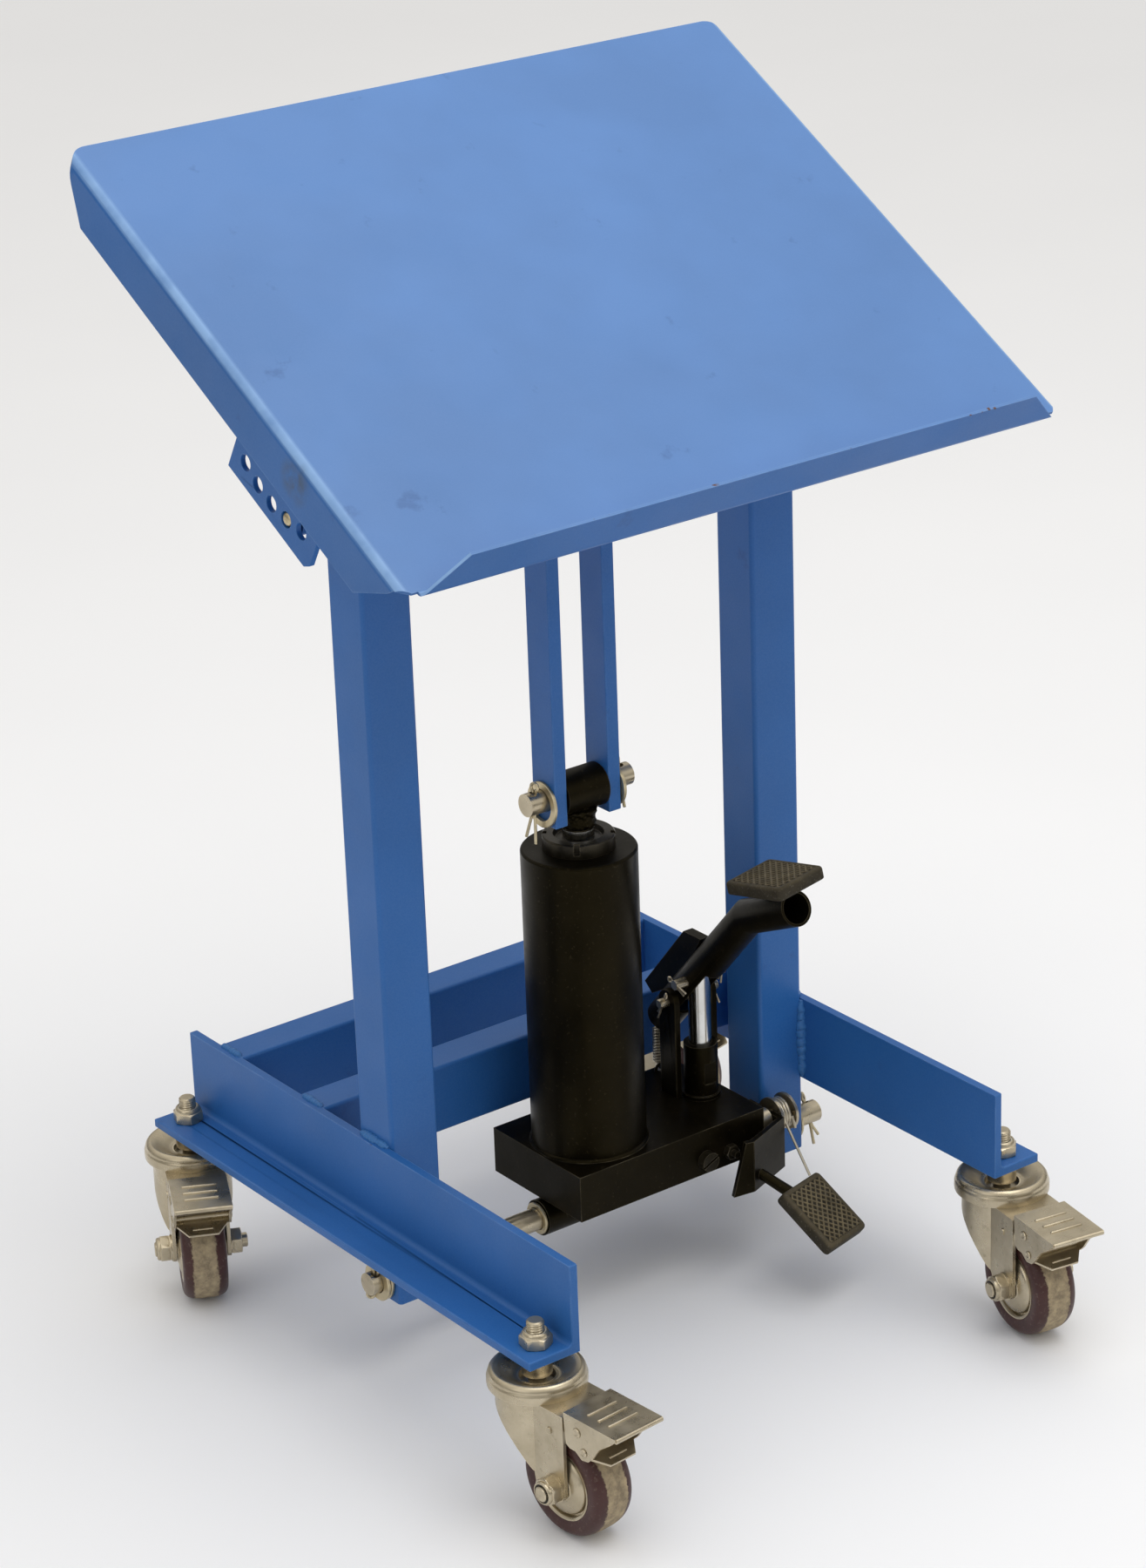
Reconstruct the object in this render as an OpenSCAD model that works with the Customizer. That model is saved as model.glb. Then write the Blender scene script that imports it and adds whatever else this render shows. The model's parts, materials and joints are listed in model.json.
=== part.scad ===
// Mobile hydraulic work table with a tilting top and a foot pump.
// X runs across the table, +Y to its rear and +Z up.  The origin is on the
// floor below the middle of the outline.  All sizes are in millimetres.

/* [Base frame] */
// Distance between the outer faces of the two uprights
upright_span = 354; // [350:1:358]
// Length of each angle rail, front to rear
rail_length = 444; // [440:1:452]
// Height of the rail's standing leg
rail_height = 63; // [60:1:66]
// Width of the rail's flat leg, which holds the casters
rail_width = 40; // [38:1:44]
// Thickness of the rails
rail_t = 6; // [5:0.5:7]
// Side of the square uprights
upright_w = 38; // [38:0.5:41]
// Height of the top of the uprights above the floor
upright_top = 647; // [607:5:647]
// Wall of the uprights
upright_wall = 3; // [2.5:0.5:3]

/* [Table top] */
// Width of the table top
table_w = 523; // [518:1:530]
// Depth of the table top, from the front fold to the rear edge
table_d = 409; // [400:1:420]
// Height of the front lip above the table
lip_h = 29; // [24:1:32]
// Depth of the side flanges
flange_h = 36; // [30:1:38]
// Sheet thickness
sheet_t = 2; // [1.5:0.1:2.5]
// Angle of the table at rest
table_tilt = 30; // [30]

/* [Lift] */
// Diameter of the pump cylinder's jacket
jacket_d = 80; // [76:1:82]
// Height of the jacket above the pump block
jacket_h = 220; // [216:1:224]
// Diameter of the ram rod
ram_d = 22; // [20:1:24]
// Diameter of the axle and of the clevis pin
pin_d = 16; // [14:1:16]

/* [Casters] */
// Wheel diameter
wheel_d = 75; // [74:0.5:76]
// Width of the tread
wheel_w = 32; // [30:0.5:33]
// Distance from the swivel axis back to the wheel's axle
trail = 36; // [35:0.5:37]

/* [Hidden] */
$fn = 48;
clear = 0.06;

blue = [0.20, 0.38, 0.68];
black = [0.06, 0.06, 0.06];
zinc = [0.66, 0.65, 0.60];
yellow_zinc = [0.72, 0.66, 0.44];
chrome = [0.80, 0.80, 0.80];
rubber = [0.13, 0.13, 0.12];
maroon = [0.28, 0.17, 0.17];
nylon = [0.85, 0.84, 0.78];

// How far behind the origin the uprights stand.  The modules below measure Y
// from the uprights, and the whole model is moved back at the end.
upright_y = 32;
upright_x = upright_span / 2 - upright_w / 2;
upright_bottom = 57;
rail_z = 112;
fillet_r = 3.8;
rail_top = rail_z + rail_height;
rail_x = upright_span / 2;
bolt_x = rail_x + rail_t + 16;
bolt_y = rail_length / 2 - 17;

cross_w = 30;
cross_h = 50;
cross_z = rail_top - cross_h;
rear_cross_y = 177;
middle_cross_y = 76;

axle_z = 70;
axle_left = -190;
axle_right = 204;
// Place along X and turn about X of the split pin at each end of the axle.
axle_pins = [[axle_left + 5, 20], [axle_right - 7, -25]];

block_left = -43;
block_right = 119;
block_front = -46;
block_rear = 54;
block_bottom = 84;
block_top = 118;
boss_r = 13;
jacket_top = block_top + jacket_h;
clevis_z = 379;
bar_gap = 35;
bar_t = 10;
bar_w = 25;
bar_x = bar_gap / 2 + bar_t / 2;

slide_w = upright_w - 2 * upright_wall;
inner_w = 30;
inner_bottom = 137;
beam_bottom = 652;
beam_h = 30;
beam_w = 40;
arm_x = 200;
arm_t = 6;

hinge_y = -20;
hinge_z = 711;
panel_w = 13.4;
panel_front = -188.6;
panel_rear = panel_front + table_d;
fold_r = 7;
table_x = 3;
lip_w = 500;
corner_r = 14;
bracket_x = arm_x + arm_t + 1.5;
bracket_t = 4;
bracket_top = panel_w - sheet_t - 0.02;
hole_arc_r = 98;
hole_step = 10;
hole_angle = -73;
hole_d = 11;
lock_y = hinge_y + hole_arc_r * cos(hole_angle);
lock_z = hinge_z + hole_arc_r * sin(hole_angle);

plunger_x = 100;
plunger_d = 16;
plunger_top = 216;
plunger_pin_z = 209;
fulcrum_y = 13;
fulcrum_z = 191;
lever_pin_d = 7;
lever_max = 25;
plunger_per_rad = 24;
housing_top = 159;
lever_angle = 132;
lever_tube_d = 25;
lever_wall = 2;
lever_rear = [41, 164];
lever_bend = [-57, 275];
lever_end = [-108, 298];
pad_w = 45;
pad_l = 52;
pad_t = 9;
pad_recess = 4;

stud_y = -35;
stud_z = 102;
pedal_arm_x = 130;
pedal_yaw = 21;

fork_inner = 18;
fork_t = 2.5;
fork_r = 27.5;
fork_front = -46;
axle_height = wheel_d / 2;
caster_axle_r = 5;
cup_bottom = 92.5;
cup_top = 103.5;
cup_r = 32.4;
brake_y = -59;
brake_z = 87;

caster_pos = [[-bolt_x, -bolt_y], [bolt_x, -bolt_y], [-bolt_x, bolt_y], [bolt_x, bolt_y]];
caster_yaw = [5, -10, -27, 14];

// Node to build, or "all"

// ---------------------------------------------------------------- helpers

module both_sides() {
    for (side = [0, 1])
        mirror([side, 0, 0])
            children();
}

// A cylinder along X from x0 to x1 at the given y and z.
module rod_x(x0, x1, y, z, r) {
    translate([x0, y, z])
        rotate([0, 90, 0])
            cylinder(h = x1 - x0, r = r);
}

module washer_x(x0, x1, y, z, r, hole_r) {
    difference() {
        rod_x(x0, x1, y, z, r);
        rod_x(x0 - 1, x1 + 1, y, z, hole_r);
    }
}

module box(x0, x1, y0, y1, z0, z1) {
    translate([x0, y0, z0])
        cube([x1 - x0, y1 - y0, z1 - z0]);
}

// A rectangle with rounded corners, centred on the origin.
module round_rect(w, h, r) {
    square([w - 2 * r, h], center = true);
    square([w, h - 2 * r], center = true);
    for (sx = [-1, 1], sy = [-1, 1])
        translate([sx * (w / 2 - r), sy * (h / 2 - r)])
            circle(r);
}

module square_tube(w, h, wall, len) {
    linear_extrude(len)
        difference() {
            round_rect(w, h, wall);
            round_rect(w - 2 * wall, h - 2 * wall, 0.5);
        }
}

// A split pin down through a pin of radius r whose axis is at the origin.
// It fits a cross hole of radius 3.
module split_pin(r, leg) {
    for (side = [-1, 1])
        translate([side * 1.15, 0, -r - leg])
            cylinder(h = leg + 2 * r + 1, r = 1.1, $fn = 16);
    translate([0, 0, r + 3.4])
        rotate([90, 0, 0])
            rotate_extrude($fn = 24)
                translate([2.6, 0])
                    circle(1.1, $fn = 16);
}

// A quarter-round bead along Z that fills the corner on the +X and +Y sides.
module corner_bead(r, len) {
    linear_extrude(len)
        intersection() {
            circle(r);
            square(r);
        }
}

// A bent sheet's quarter ring, in the +X +Y quadrant.
module quarter_ring(r, t) {
    intersection() {
        difference() {
            circle(r);
            circle(r - t);
        }
        square(r);
    }
}

// A hexagon nut or bolt head with its corners turned off at both ends.
module hex_nut(across, h) {
    corner = across / 2 / cos(30);
    cut = across * 0.05;
    intersection() {
        cylinder(h = h, r = corner, $fn = 6);
        rotate_extrude()
            polygon([
                [0, 0], [across * 0.475, 0], [corner + 0.1, cut], [corner + 0.1, h - cut],
                [across * 0.475, h], [0, h]
            ]);
    }
}

// ------------------------------------------------------------- base frame

module rail() {
    difference() {
        union() {
            box(rail_x, rail_x + rail_t, -rail_length / 2, rail_length / 2, rail_z, rail_top);
            box(rail_x, rail_x + rail_width, -rail_length / 2, rail_length / 2,
                rail_z, rail_z + rail_t);
            translate([rail_x + rail_t, rail_length / 2, rail_z + rail_t])
                rotate([90, 0, 0])
                    linear_extrude(rail_length)
                        difference() {
                            square(fillet_r);
                            translate([fillet_r, fillet_r])
                                circle(fillet_r);
                        }
        }
        for (y = [-bolt_y, bolt_y])
            translate([bolt_x, y, rail_z - 1])
                cylinder(h = rail_t + 2, r = 6.1);
    }
}

module left_rail() {
    color(blue)
        mirror([1, 0, 0])
            rail();
}

module right_rail() {
    color(blue)
        rail();
}

module cross_tube(y) {
    color(blue)
        translate([-rail_x, y, cross_z + cross_h / 2])
            rotate([90, 0, 90])
                square_tube(cross_w, cross_h, 2.5, 2 * rail_x);
}

module rear_cross_tube() {
    cross_tube(rear_cross_y);
}

module middle_cross_tube() {
    cross_tube(middle_cross_y);
}

module upright(x) {
    color(blue)
        difference() {
            translate([x, 0, upright_bottom])
                square_tube(upright_w, upright_w, upright_wall, upright_top - upright_bottom);
            rod_x(x - upright_w, x + upright_w, 0, axle_z, pin_d / 2 + clear);
        }
}

module left_upright() {
    upright(-upright_x);
}

module right_upright() {
    upright(upright_x);
}

// Weld beads between the uprights, the rails and the cross tubes.
module frame_welds() {
    color(blue)
        both_sides() {
            for (face = [0, 1])
                mirror([0, face, 0])
                    translate([rail_x, -upright_w / 2, rail_z + 2])
                        rotate([0, 0, 180])
                            corner_bead(4, rail_height - 4);
            translate([rail_x, 16, rail_top])
                rotate([90, 0, 0])
                    corner_bead(4, 32);
            for (y = [middle_cross_y, rear_cross_y])
                translate([rail_x, y + cross_w / 2 - 3, rail_top])
                    rotate([90, 0, 0])
                        rotate([0, 0, 90])
                            corner_bead(3, cross_w - 6);
        }
}

// Plastic bushes in the tops of the uprights.
module guide_bushes() {
    color(nylon)
        both_sides()
            translate([upright_x, 0, upright_top - 42])
                difference() {
                    union() {
                        linear_extrude(42)
                            round_rect(slide_w - 0.1, slide_w - 0.1, 0.7);
                        translate([0, 0, 42])
                            linear_extrude(3)
                                square(upright_w - 1, center = true);
                    }
                    translate([0, 0, -1])
                        linear_extrude(50)
                            square(inner_w + 0.2, center = true);
                }
}

// -------------------------------------------------------------- axle

module axle() {
    color(zinc)
        difference() {
            rod_x(axle_left, axle_right, 0, axle_z, pin_d / 2);
            for (pin = axle_pins)
                translate([pin[0], 0, axle_z])
                    rotate([pin[1], 0, 0])
                        translate([0, 0, -pin_d])
                            cylinder(h = 2 * pin_d, r = 3);
        }
}

module axle_retainers() {
    color(yellow_zinc) {
        for (pin = axle_pins)
            translate([pin[0], 0, axle_z])
                rotate([pin[1], 0, 0])
                    split_pin(pin_d / 2, 12);
        both_sides()
            for (n = [0, 1])
                washer_x(rail_x + 0.2 + 3 * n, rail_x + 2.7 + 3 * n, 0, axle_z - 0.4 * n,
                    14, pin_d / 2 + 0.5);
    }
    color(zinc)
        for (x = [block_left - 5.2, block_right + 1.2])
            washer_x(x, x + 2, 0, axle_z, 11.5, pin_d / 2 + clear);
}

// -------------------------------------------------------------- pump

module pump_block() {
    color(black)
        difference() {
            union() {
                box(block_left, block_right, block_front, block_rear, block_bottom, block_top);
                rod_x(block_left - 3, block_right, 0, axle_z, boss_r);
                box(block_left + 12, block_right, -boss_r, boss_r, axle_z, block_bottom + 1);
            }
            rod_x(block_left - 10, block_right + 10, 0, axle_z, pin_d / 2 + clear);
            rod_x(block_right - 14, block_right + 1, stud_y, stud_z, 5);
            for (x = [66.6, 87.4])
                translate([x, block_front + 14, block_bottom + 11])
                    rotate([90, 0, 0])
                        cylinder(h = 20, r = 4);
        }
}

module jacket() {
    color(black)
        rotate_extrude($fn = 96)
            polygon([
                [jacket_d / 2 - 4, block_top], [jacket_d / 2, block_top],
                [jacket_d / 2, jacket_top - 1.5], [jacket_d / 2 - 1.5, jacket_top],
                [22.1, jacket_top], [22.1, jacket_top - 8],
                [jacket_d / 2 - 4, jacket_top - 8]
            ]);
}

module pressure_tube() {
    color(zinc)
        translate([0, 0, block_top])
            difference() {
                cylinder(h = jacket_h - 8, r = 22);
                translate([0, 0, -1])
                    cylinder(h = jacket_h, r = 17);
            }
}

module gland_nut() {
    color(black)
        difference() {
            rotate_extrude($fn = 64)
                polygon([
                    [ram_d / 2 + clear, jacket_top - 28], [16.9, jacket_top - 28],
                    [16.9, jacket_top - 8], [22, jacket_top - 8], [22, jacket_top],
                    [25, jacket_top], [25, jacket_top + 9], [24, jacket_top + 10],
                    [17.5, jacket_top + 10], [16, jacket_top + 6.5],
                    [ram_d / 2 + clear, jacket_top + 6.5]
                ]);
            for (a = [0, 90, 180, 270])
                rotate([0, 0, a - 40])
                    box(21.5, 30, -2, 2, jacket_top + 3, jacket_top + 12);
        }
}

// The slotted plug and the release valve's screw in the block's front face.
module block_screws() {
    color(black) {
        translate([66.6, block_front, block_bottom + 11])
            rotate([90, 0, 0])
                difference() {
                    union() {
                        translate([0, 0, -12])
                            cylinder(h = 12, r = 4);
                        cylinder(h = 6, r = 7);
                    }
                    rotate([0, 0, 25])
                        box(-8, 8, -0.9, 0.9, 4, 7);
                }
        translate([87.4, block_front, block_bottom + 11])
            rotate([90, 0, 0]) {
                translate([0, 0, -12])
                    cylinder(h = 12, r = 4);
                hex_nut(10, 5);
                cylinder(h = 9.5, r = 2.6);
            }
    }
}

module plunger_housing() {
    color(black)
        translate([plunger_x, 0, 0])
            difference() {
                union() {
                    translate([0, 0, block_top])
                        cylinder(h = 3, r = 13.5);
                    translate([0, 0, block_top])
                        cylinder(h = housing_top - block_top, r = 12);
                }
                translate([0, 0, block_top + 2])
                    cylinder(h = 60, r = plunger_d / 2 + clear);
                for (side = [0, 1])
                    mirror([0, side, 0])
                        box(-20, 20, -20, -10.8, block_top + 12, block_top + 28);
            }
}

module fulcrum_lugs() {
    color(black)
        difference() {
            for (side = [-1, 1])
                translate([plunger_x + side * 16.5 - 2.5, 0, 0]) {
                    box(0, 5, fulcrum_y - 9, fulcrum_y + 9, block_top, fulcrum_z);
                    rod_x(0, 5, fulcrum_y, fulcrum_z, 9);
                }
            rod_x(plunger_x - 30, plunger_x + 30, fulcrum_y, fulcrum_z, lever_pin_d / 2 + clear);
        }
}

module fulcrum_pin() {
    color(zinc) {
        difference() {
            rod_x(plunger_x - 26, plunger_x + 26, fulcrum_y, fulcrum_z, lever_pin_d / 2);
            for (side = [-1, 1])
                translate([plunger_x + side * 22, fulcrum_y, fulcrum_z - 10])
                    cylinder(h = 20, r = 1.2);
        }
        for (side = [-1, 1])
            translate([plunger_x + side * 22, fulcrum_y, fulcrum_z]) {
                translate([0, 0, -9])
                    cylinder(h = 18, r = 1);
                translate([0, 0, 10])
                    rotate([90, 0, 0])
                        rotate_extrude($fn = 20)
                            translate([1.9, 0])
                                circle(0.8, $fn = 14);
            }
    }
}

// The extension spring that lifts the pedal, drawn as touching rings.
module return_spring() {
    turns = floor((lever_rear[1] - 5 - block_top - 2) / 2);
    color(zinc)
        translate([plunger_x, 49, block_top + 1.2]) {
            for (n = [0 : turns - 1])
                translate([0, 0, 2 * n])
                    rotate_extrude($fn = 24)
                        translate([3, 0])
                            circle(1.1, $fn = 14);
            translate([0, 0, -1.2])
                cylinder(h = 2, r = 3.5);
        }
}

module release_stud() {
    color(zinc) {
        rod_x(block_right - 14, block_right + 36, stud_y, stud_z, 5);
        washer_x(block_right + 0.1, pedal_arm_x - 0.4, stud_y, stud_z, 8, 5);
        washer_x(pedal_arm_x + 4.4, pedal_arm_x + 6.4, stud_y, stud_z, 13.5, 5);
        washer_x(pedal_arm_x + 17, pedal_arm_x + 19, stud_y, stud_z, 13.5, 5);
        washer_x(pedal_arm_x + 19.2, pedal_arm_x + 22, stud_y, stud_z, 8, 5);
    }
}

// -------------------------------------------------------------- carriage

module lift_tubes() {
    color(blue)
        both_sides()
            translate([upright_x, 0, inner_bottom])
                square_tube(inner_w, inner_w, 2.5, beam_bottom - inner_bottom);
}

module slide_pads() {
    color(nylon)
        both_sides()
            translate([upright_x, 0, inner_bottom + 2])
                linear_extrude(30)
                    difference() {
                        square(slide_w - 0.3, center = true);
                        square(inner_w, center = true);
                    }
}

module lift_beam() {
    color(blue)
        translate([-arm_x, 0, beam_bottom + beam_h / 2])
            rotate([90, 0, 90])
                square_tube(beam_w, beam_h, 2.5, 2 * arm_x);
}

module lift_bars() {
    color(blue)
        both_sides()
            difference() {
                box(bar_x - bar_t / 2, bar_x + bar_t / 2, -bar_w / 2, bar_w / 2,
                    clevis_z - 18, beam_bottom);
                rod_x(0, 60, 0, clevis_z, pin_d / 2 + clear);
            }
}

// End plates of the carriage.  Each holds the table's hinge and a lock pin.
module tilt_arms() {
    color(blue)
        both_sides()
            difference() {
                union() {
                    translate([arm_x, 0, 0])
                        rotate([90, 0, 90])
                            linear_extrude(arm_t)
                                polygon([
                                    [hinge_y - 10, hinge_z], [hinge_y - 10, beam_bottom],
                                    [lock_y - 12, lock_z], [lock_y + 12, lock_z],
                                    [22, beam_bottom], [22, beam_bottom + beam_h],
                                    [hinge_y + 10, hinge_z]
                                ]);
                    rod_x(arm_x, arm_x + arm_t, hinge_y, hinge_z, 10);
                    rod_x(arm_x, arm_x + arm_t, lock_y, lock_z, 12);
                    rod_x(arm_x - 7, arm_x + 1, lock_y, lock_z, 9);
                }
                rod_x(arm_x - 10, arm_x + 10, lock_y, lock_z, 5 + clear);
                rod_x(arm_x - 10, arm_x + 10, hinge_y, hinge_z, 5 + clear);
            }
}

module ram_rod() {
    color(chrome) {
        translate([0, 0, block_top + 2])
            cylinder(h = jacket_top + 14 - block_top - 2, r = ram_d / 2);
        translate([0, 0, block_top + 2])
            cylinder(h = 6, r = 17 - clear);
    }
}

module ram_head() {
    color(black)
        difference() {
            union() {
                rod_x(-bar_gap / 2 + 0.4, bar_gap / 2 - 0.4, 0, clevis_z, 15);
                translate([0, 0, jacket_top + 14])
                    cylinder(h = clevis_z - jacket_top - 14, r = 10);
            }
            rod_x(-30, 30, 0, clevis_z, pin_d / 2 + clear);
        }
}

module clevis_pin() {
    color(zinc)
        difference() {
            rod_x(-43, 43, 0, clevis_z, pin_d / 2);
            for (x = [-36, 36])
                translate([x, 0, clevis_z - pin_d])
                    cylinder(h = 2 * pin_d, r = 3);
        }
}

module clevis_retainers() {
    color(yellow_zinc)
        both_sides() {
            washer_x(bar_x + bar_t / 2 + 0.3, bar_x + bar_t / 2 + 2.8, 0, clevis_z - 3,
                16, pin_d / 2 + 3.1);
            translate([36, 0, clevis_z])
                split_pin(pin_d / 2, 12);
        }
}

module hinge_bolts() {
    color(zinc)
        both_sides() {
            rod_x(arm_x - 6, bracket_x + bracket_t + 1, hinge_y, hinge_z, 5);
            translate([bracket_x + bracket_t + 0.3, hinge_y, hinge_z])
                rotate([0, 90, 0])
                    hex_nut(16, 6);
            translate([arm_x - 8.3, hinge_y, hinge_z])
                rotate([0, 90, 0])
                    hex_nut(16, 8);
        }
}

// -------------------------------------------------------------- table

// Places a shape drawn flat, with the hinge at its origin, on the tilted table.
module on_table() {
    translate([0, hinge_y, hinge_z])
        rotate([table_tilt, 0, 0])
            children();
}

module panel_section() {
    half = table_w / 2;
    translate([-half + fold_r, panel_w - sheet_t])
        square([table_w - 2 * fold_r, sheet_t]);
    for (side = [0, 1])
        mirror([side, 0]) {
            translate([half - fold_r, panel_w - fold_r])
                quarter_ring(fold_r, sheet_t);
            translate([half - sheet_t, panel_w - flange_h])
                square([sheet_t, flange_h - fold_r]);
        }
}

// Outline of the side flange, seen from the side.  Both ends are cut off at
// 45 degrees.
module flange_outline() {
    low = panel_w - flange_h;
    polygon([
        [panel_front - 1, panel_w + 1], [panel_front - 1, panel_w - 1],
        [panel_front + 13, panel_w - 4], [panel_front + 17, low + 26],
        [panel_front + 44, low - 0.01], [panel_rear - 34, low - 0.01],
        [panel_rear - 7, low + 27], [panel_rear + 1, panel_w - 3],
        [panel_rear + 1, panel_w + 1]
    ]);
}

module plan_outline() {
    half = table_w / 2;
    offset_y = panel_rear - corner_r;
    polygon([
        [-lip_w / 2, panel_front], [lip_w / 2, panel_front],
        [half, panel_front + 13], [half, offset_y], [half - corner_r, panel_rear],
        [-half + corner_r, panel_rear], [-half, offset_y], [-half, panel_front + 13]
    ]);
    for (side = [-1, 1])
        translate([side * (half - corner_r), offset_y])
            circle(corner_r);
}

module front_lip() {
    half = lip_w / 2;
    intersection() {
        translate([-half, 0, 0])
            rotate([90, 0, 90])
                linear_extrude(2 * half) {
                    translate([panel_front + 5, panel_w + 5 - sheet_t])
                        mirror([1, 0])
                            mirror([0, 1])
                                quarter_ring(5, sheet_t);
                    translate([panel_front, panel_w + 5 - sheet_t])
                        square([sheet_t, lip_h - 5]);
                }
        translate([0, panel_front - 1, 0])
            rotate([90, 0, 0])
                translate([0, 0, -20])
                    linear_extrude(40)
                        polygon([
                            [-half, panel_w - 3], [half, panel_w - 3], [half, panel_w],
                            [half - lip_h - 1, panel_w + lip_h + 1],
                            [-half + lip_h + 1, panel_w + lip_h + 1], [-half, panel_w]
                        ]);
    }
}

module table_top() {
    color(blue)
        on_table()
            translate([table_x, 0, 0]) {
                intersection() {
                    translate([0, panel_rear + 1, 0])
                        rotate([90, 0, 0])
                            linear_extrude(table_d - 4)
                                panel_section();
                    translate([0, 0, -60])
                        linear_extrude(120)
                            plan_outline();
                    translate([-table_w, 0, 0])
                        rotate([90, 0, 90])
                            linear_extrude(2 * table_w)
                                flange_outline();
                }
                front_lip();
            }
}

// Angle ribs under the panel.
module table_ribs() {
    color(blue)
        on_table()
            for (y = [-112, 128]) {
                box(-205, 205, y, y + 3, panel_w - sheet_t - 25, panel_w - sheet_t - 0.02);
                box(-205, 205, y, y + 25, panel_w - sheet_t - 3, panel_w - sheet_t - 0.02);
            }
}

module hole_brackets() {
    color(blue)
        on_table()
            both_sides()
                translate([bracket_x, 0, 0])
                    rotate([90, 0, 90])
                        linear_extrude(bracket_t)
                            difference() {
                                polygon([
                                    [-55, bracket_top], [-55, -105], [-50, -110],
                                    [43.5, -110], [43.5, bracket_top]
                                ]);
                                circle(5 + clear);
                                for (n = [0 : 4])
                                    rotate(hole_angle - hole_step * n)
                                        translate([hole_arc_r, 0])
                                            circle(d = hole_d);
                            }
}

// A lock pin with its side knob.  It is drawn just clear of the bracket.
module lock_pin() {
    tip = bracket_x - 0.1;
    color(yellow_zinc) {
        rod_x(arm_x - 17, tip - 2.5, lock_y, lock_z, 5);
        translate([tip - 2.5, lock_y, lock_z])
            rotate([0, 90, 0])
                rotate_extrude()
                    intersection() {
                        translate([0, -3.75])
                            circle(6.25);
                        square([5, 2.5]);
                    }
        translate([arm_x - 14, lock_y, lock_z])
            rotate([-90, 0, 0])
                cylinder(h = 28, r = 2);
    }
    color(black)
        translate([arm_x - 14, lock_y + 30, lock_z])
            sphere(7);
}

module left_lock_pin() {
    mirror([1, 0, 0])
        lock_pin();
}

module right_lock_pin() {
    lock_pin();
}

// -------------------------------------------------------------- foot pump lever

// Where the plunger pin sits in the lever's frame once the lever has turned
// by a degrees and the plunger has dropped in proportion.
function slot_point(a) =
    let (y = -fulcrum_y, z = plunger_pin_z - fulcrum_z - plunger_per_rad * a * PI / 180)
    [y * cos(a) + z * sin(a), z * cos(a) - y * sin(a)];

module pin_slot() {
    r = lever_pin_d / 2 + 0.25;
    for (n = [0 : 2])
        hull()
            for (m = [n, n + 1])
                translate(slot_point(lever_max * m / 3))
                    circle(r, $fn = 32);
}

module tube_between(p, q, r) {
    d = q - p;
    translate([0, p[0], p[1]])
        rotate([atan2(d[1], d[0]) - 90, 0, 0])
            cylinder(h = norm(d), r = r);
}

// A point between p and q, or beyond q when f is more than 1.
function along(p, q, f) = p + f * (q - p);

// The slot under the tube that lets the plunger in.
module plunger_opening() {
    translate([0, lever_rear[0], lever_rear[1]])
        rotate([lever_angle - 90, 0, 0])
            box(-8.8, 8.8, -20, -1, 28, 81);
}

// Keeps the part of a shape on one side of the bend's mitre plane.
module mitre(side) {
    d1 = lever_bend - lever_rear;
    d2 = lever_end - lever_bend;
    angle = (atan2(d1[1], d1[0]) + atan2(d2[1], d2[0])) / 2;
    intersection() {
        children();
        translate([0, lever_bend[0], lever_bend[1]])
            rotate([angle - 90, 0, 0])
                box(-50, 50, -50, 50, side > 0 ? 0 : -200, side > 0 ? 200 : 0);
    }
}

module lever_tube() {
    r = lever_tube_d / 2;
    bore = r - lever_wall;
    difference() {
        union() {
            mitre(-1)
                tube_between(lever_rear, along(lever_rear, lever_bend, 1.1), r);
            mitre(1)
                tube_between(along(lever_end, lever_bend, 1.3), lever_end, r);
        }
        tube_between(along(lever_bend, lever_end, 0.2), along(lever_bend, lever_end, 1.1), bore);
        tube_between(along(lever_bend, lever_rear, 0.1), along(lever_bend, lever_rear, 1.1), bore);
        plunger_opening();
        translate([-20, fulcrum_y, fulcrum_z])
            rotate([90, 0, 90])
                linear_extrude(40) {
                    circle(lever_pin_d / 2 + clear);
                    pin_slot();
                }
    }
}

// Stiffening plate behind the tube.
module lever_web() {
    rotate([90, 0, 90])
        translate([0, 0, -4])
            linear_extrude(8)
                polygon([
                    [-8, 241.5], [11, 241.5], [57, 187], [49, 180], [35, 188], [2, 225]
                ]);
}

module on_pump_pad() {
    translate([plunger_x + 0.7, -86.2, 307])
        rotate([0, 0, 7.6])
            rotate([-10.5, -4, 0])
                children();
}

// The steel plate inside a rubber pad.
module pad_plate() {
    box(-pad_w / 2 + 4.1, pad_w / 2 - 4.1, -pad_l / 2 + 4.1, pad_l / 2 - 4.1,
        0, pad_recess - 0.1);
}

module rubber_pad() {
    difference() {
        linear_extrude(pad_t)
            round_rect(pad_w, pad_l, 3);
        translate([0, 0, -1])
            linear_extrude(pad_recess + 1)
                square([pad_w - 8, pad_l - 8], center = true);
    }
}

module pump_lever() {
    color(black) {
        translate([plunger_x, 0, 0]) {
            lever_tube();
            lever_web();
        }
        on_pump_pad() {
            pad_plate();
            box(-6, 6, -10, 14, -7, 1);
        }
    }
}

module pump_pad() {
    color(rubber)
        on_pump_pad()
            rubber_pad();
}

module plunger() {
    r = plunger_d / 2;
    color(chrome)
        difference() {
            translate([plunger_x, 0, 133]) {
                cylinder(h = plunger_top - 2 - 133, r = r);
                translate([0, 0, plunger_top - 2 - 133])
                    cylinder(h = 2, r1 = r, r2 = r - 1.5);
            }
            rod_x(plunger_x - 20, plunger_x + 20, 0, plunger_pin_z, lever_pin_d / 2);
        }
}

module plunger_pin() {
    color(zinc)
        rod_x(plunger_x - 22, plunger_x + 22, 0, plunger_pin_z, lever_pin_d / 2);
}

// -------------------------------------------------------------- release pedal

module on_release_plate() {
    translate([pedal_arm_x + 4, -46, 0])
        rotate([0, 0, pedal_yaw])
            children();
}

module on_release_pad() {
    translate([118, -105.7, 56.2])
        rotate([0, 0, 16])
            rotate([36, 2, 0])
                children();
}

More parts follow.
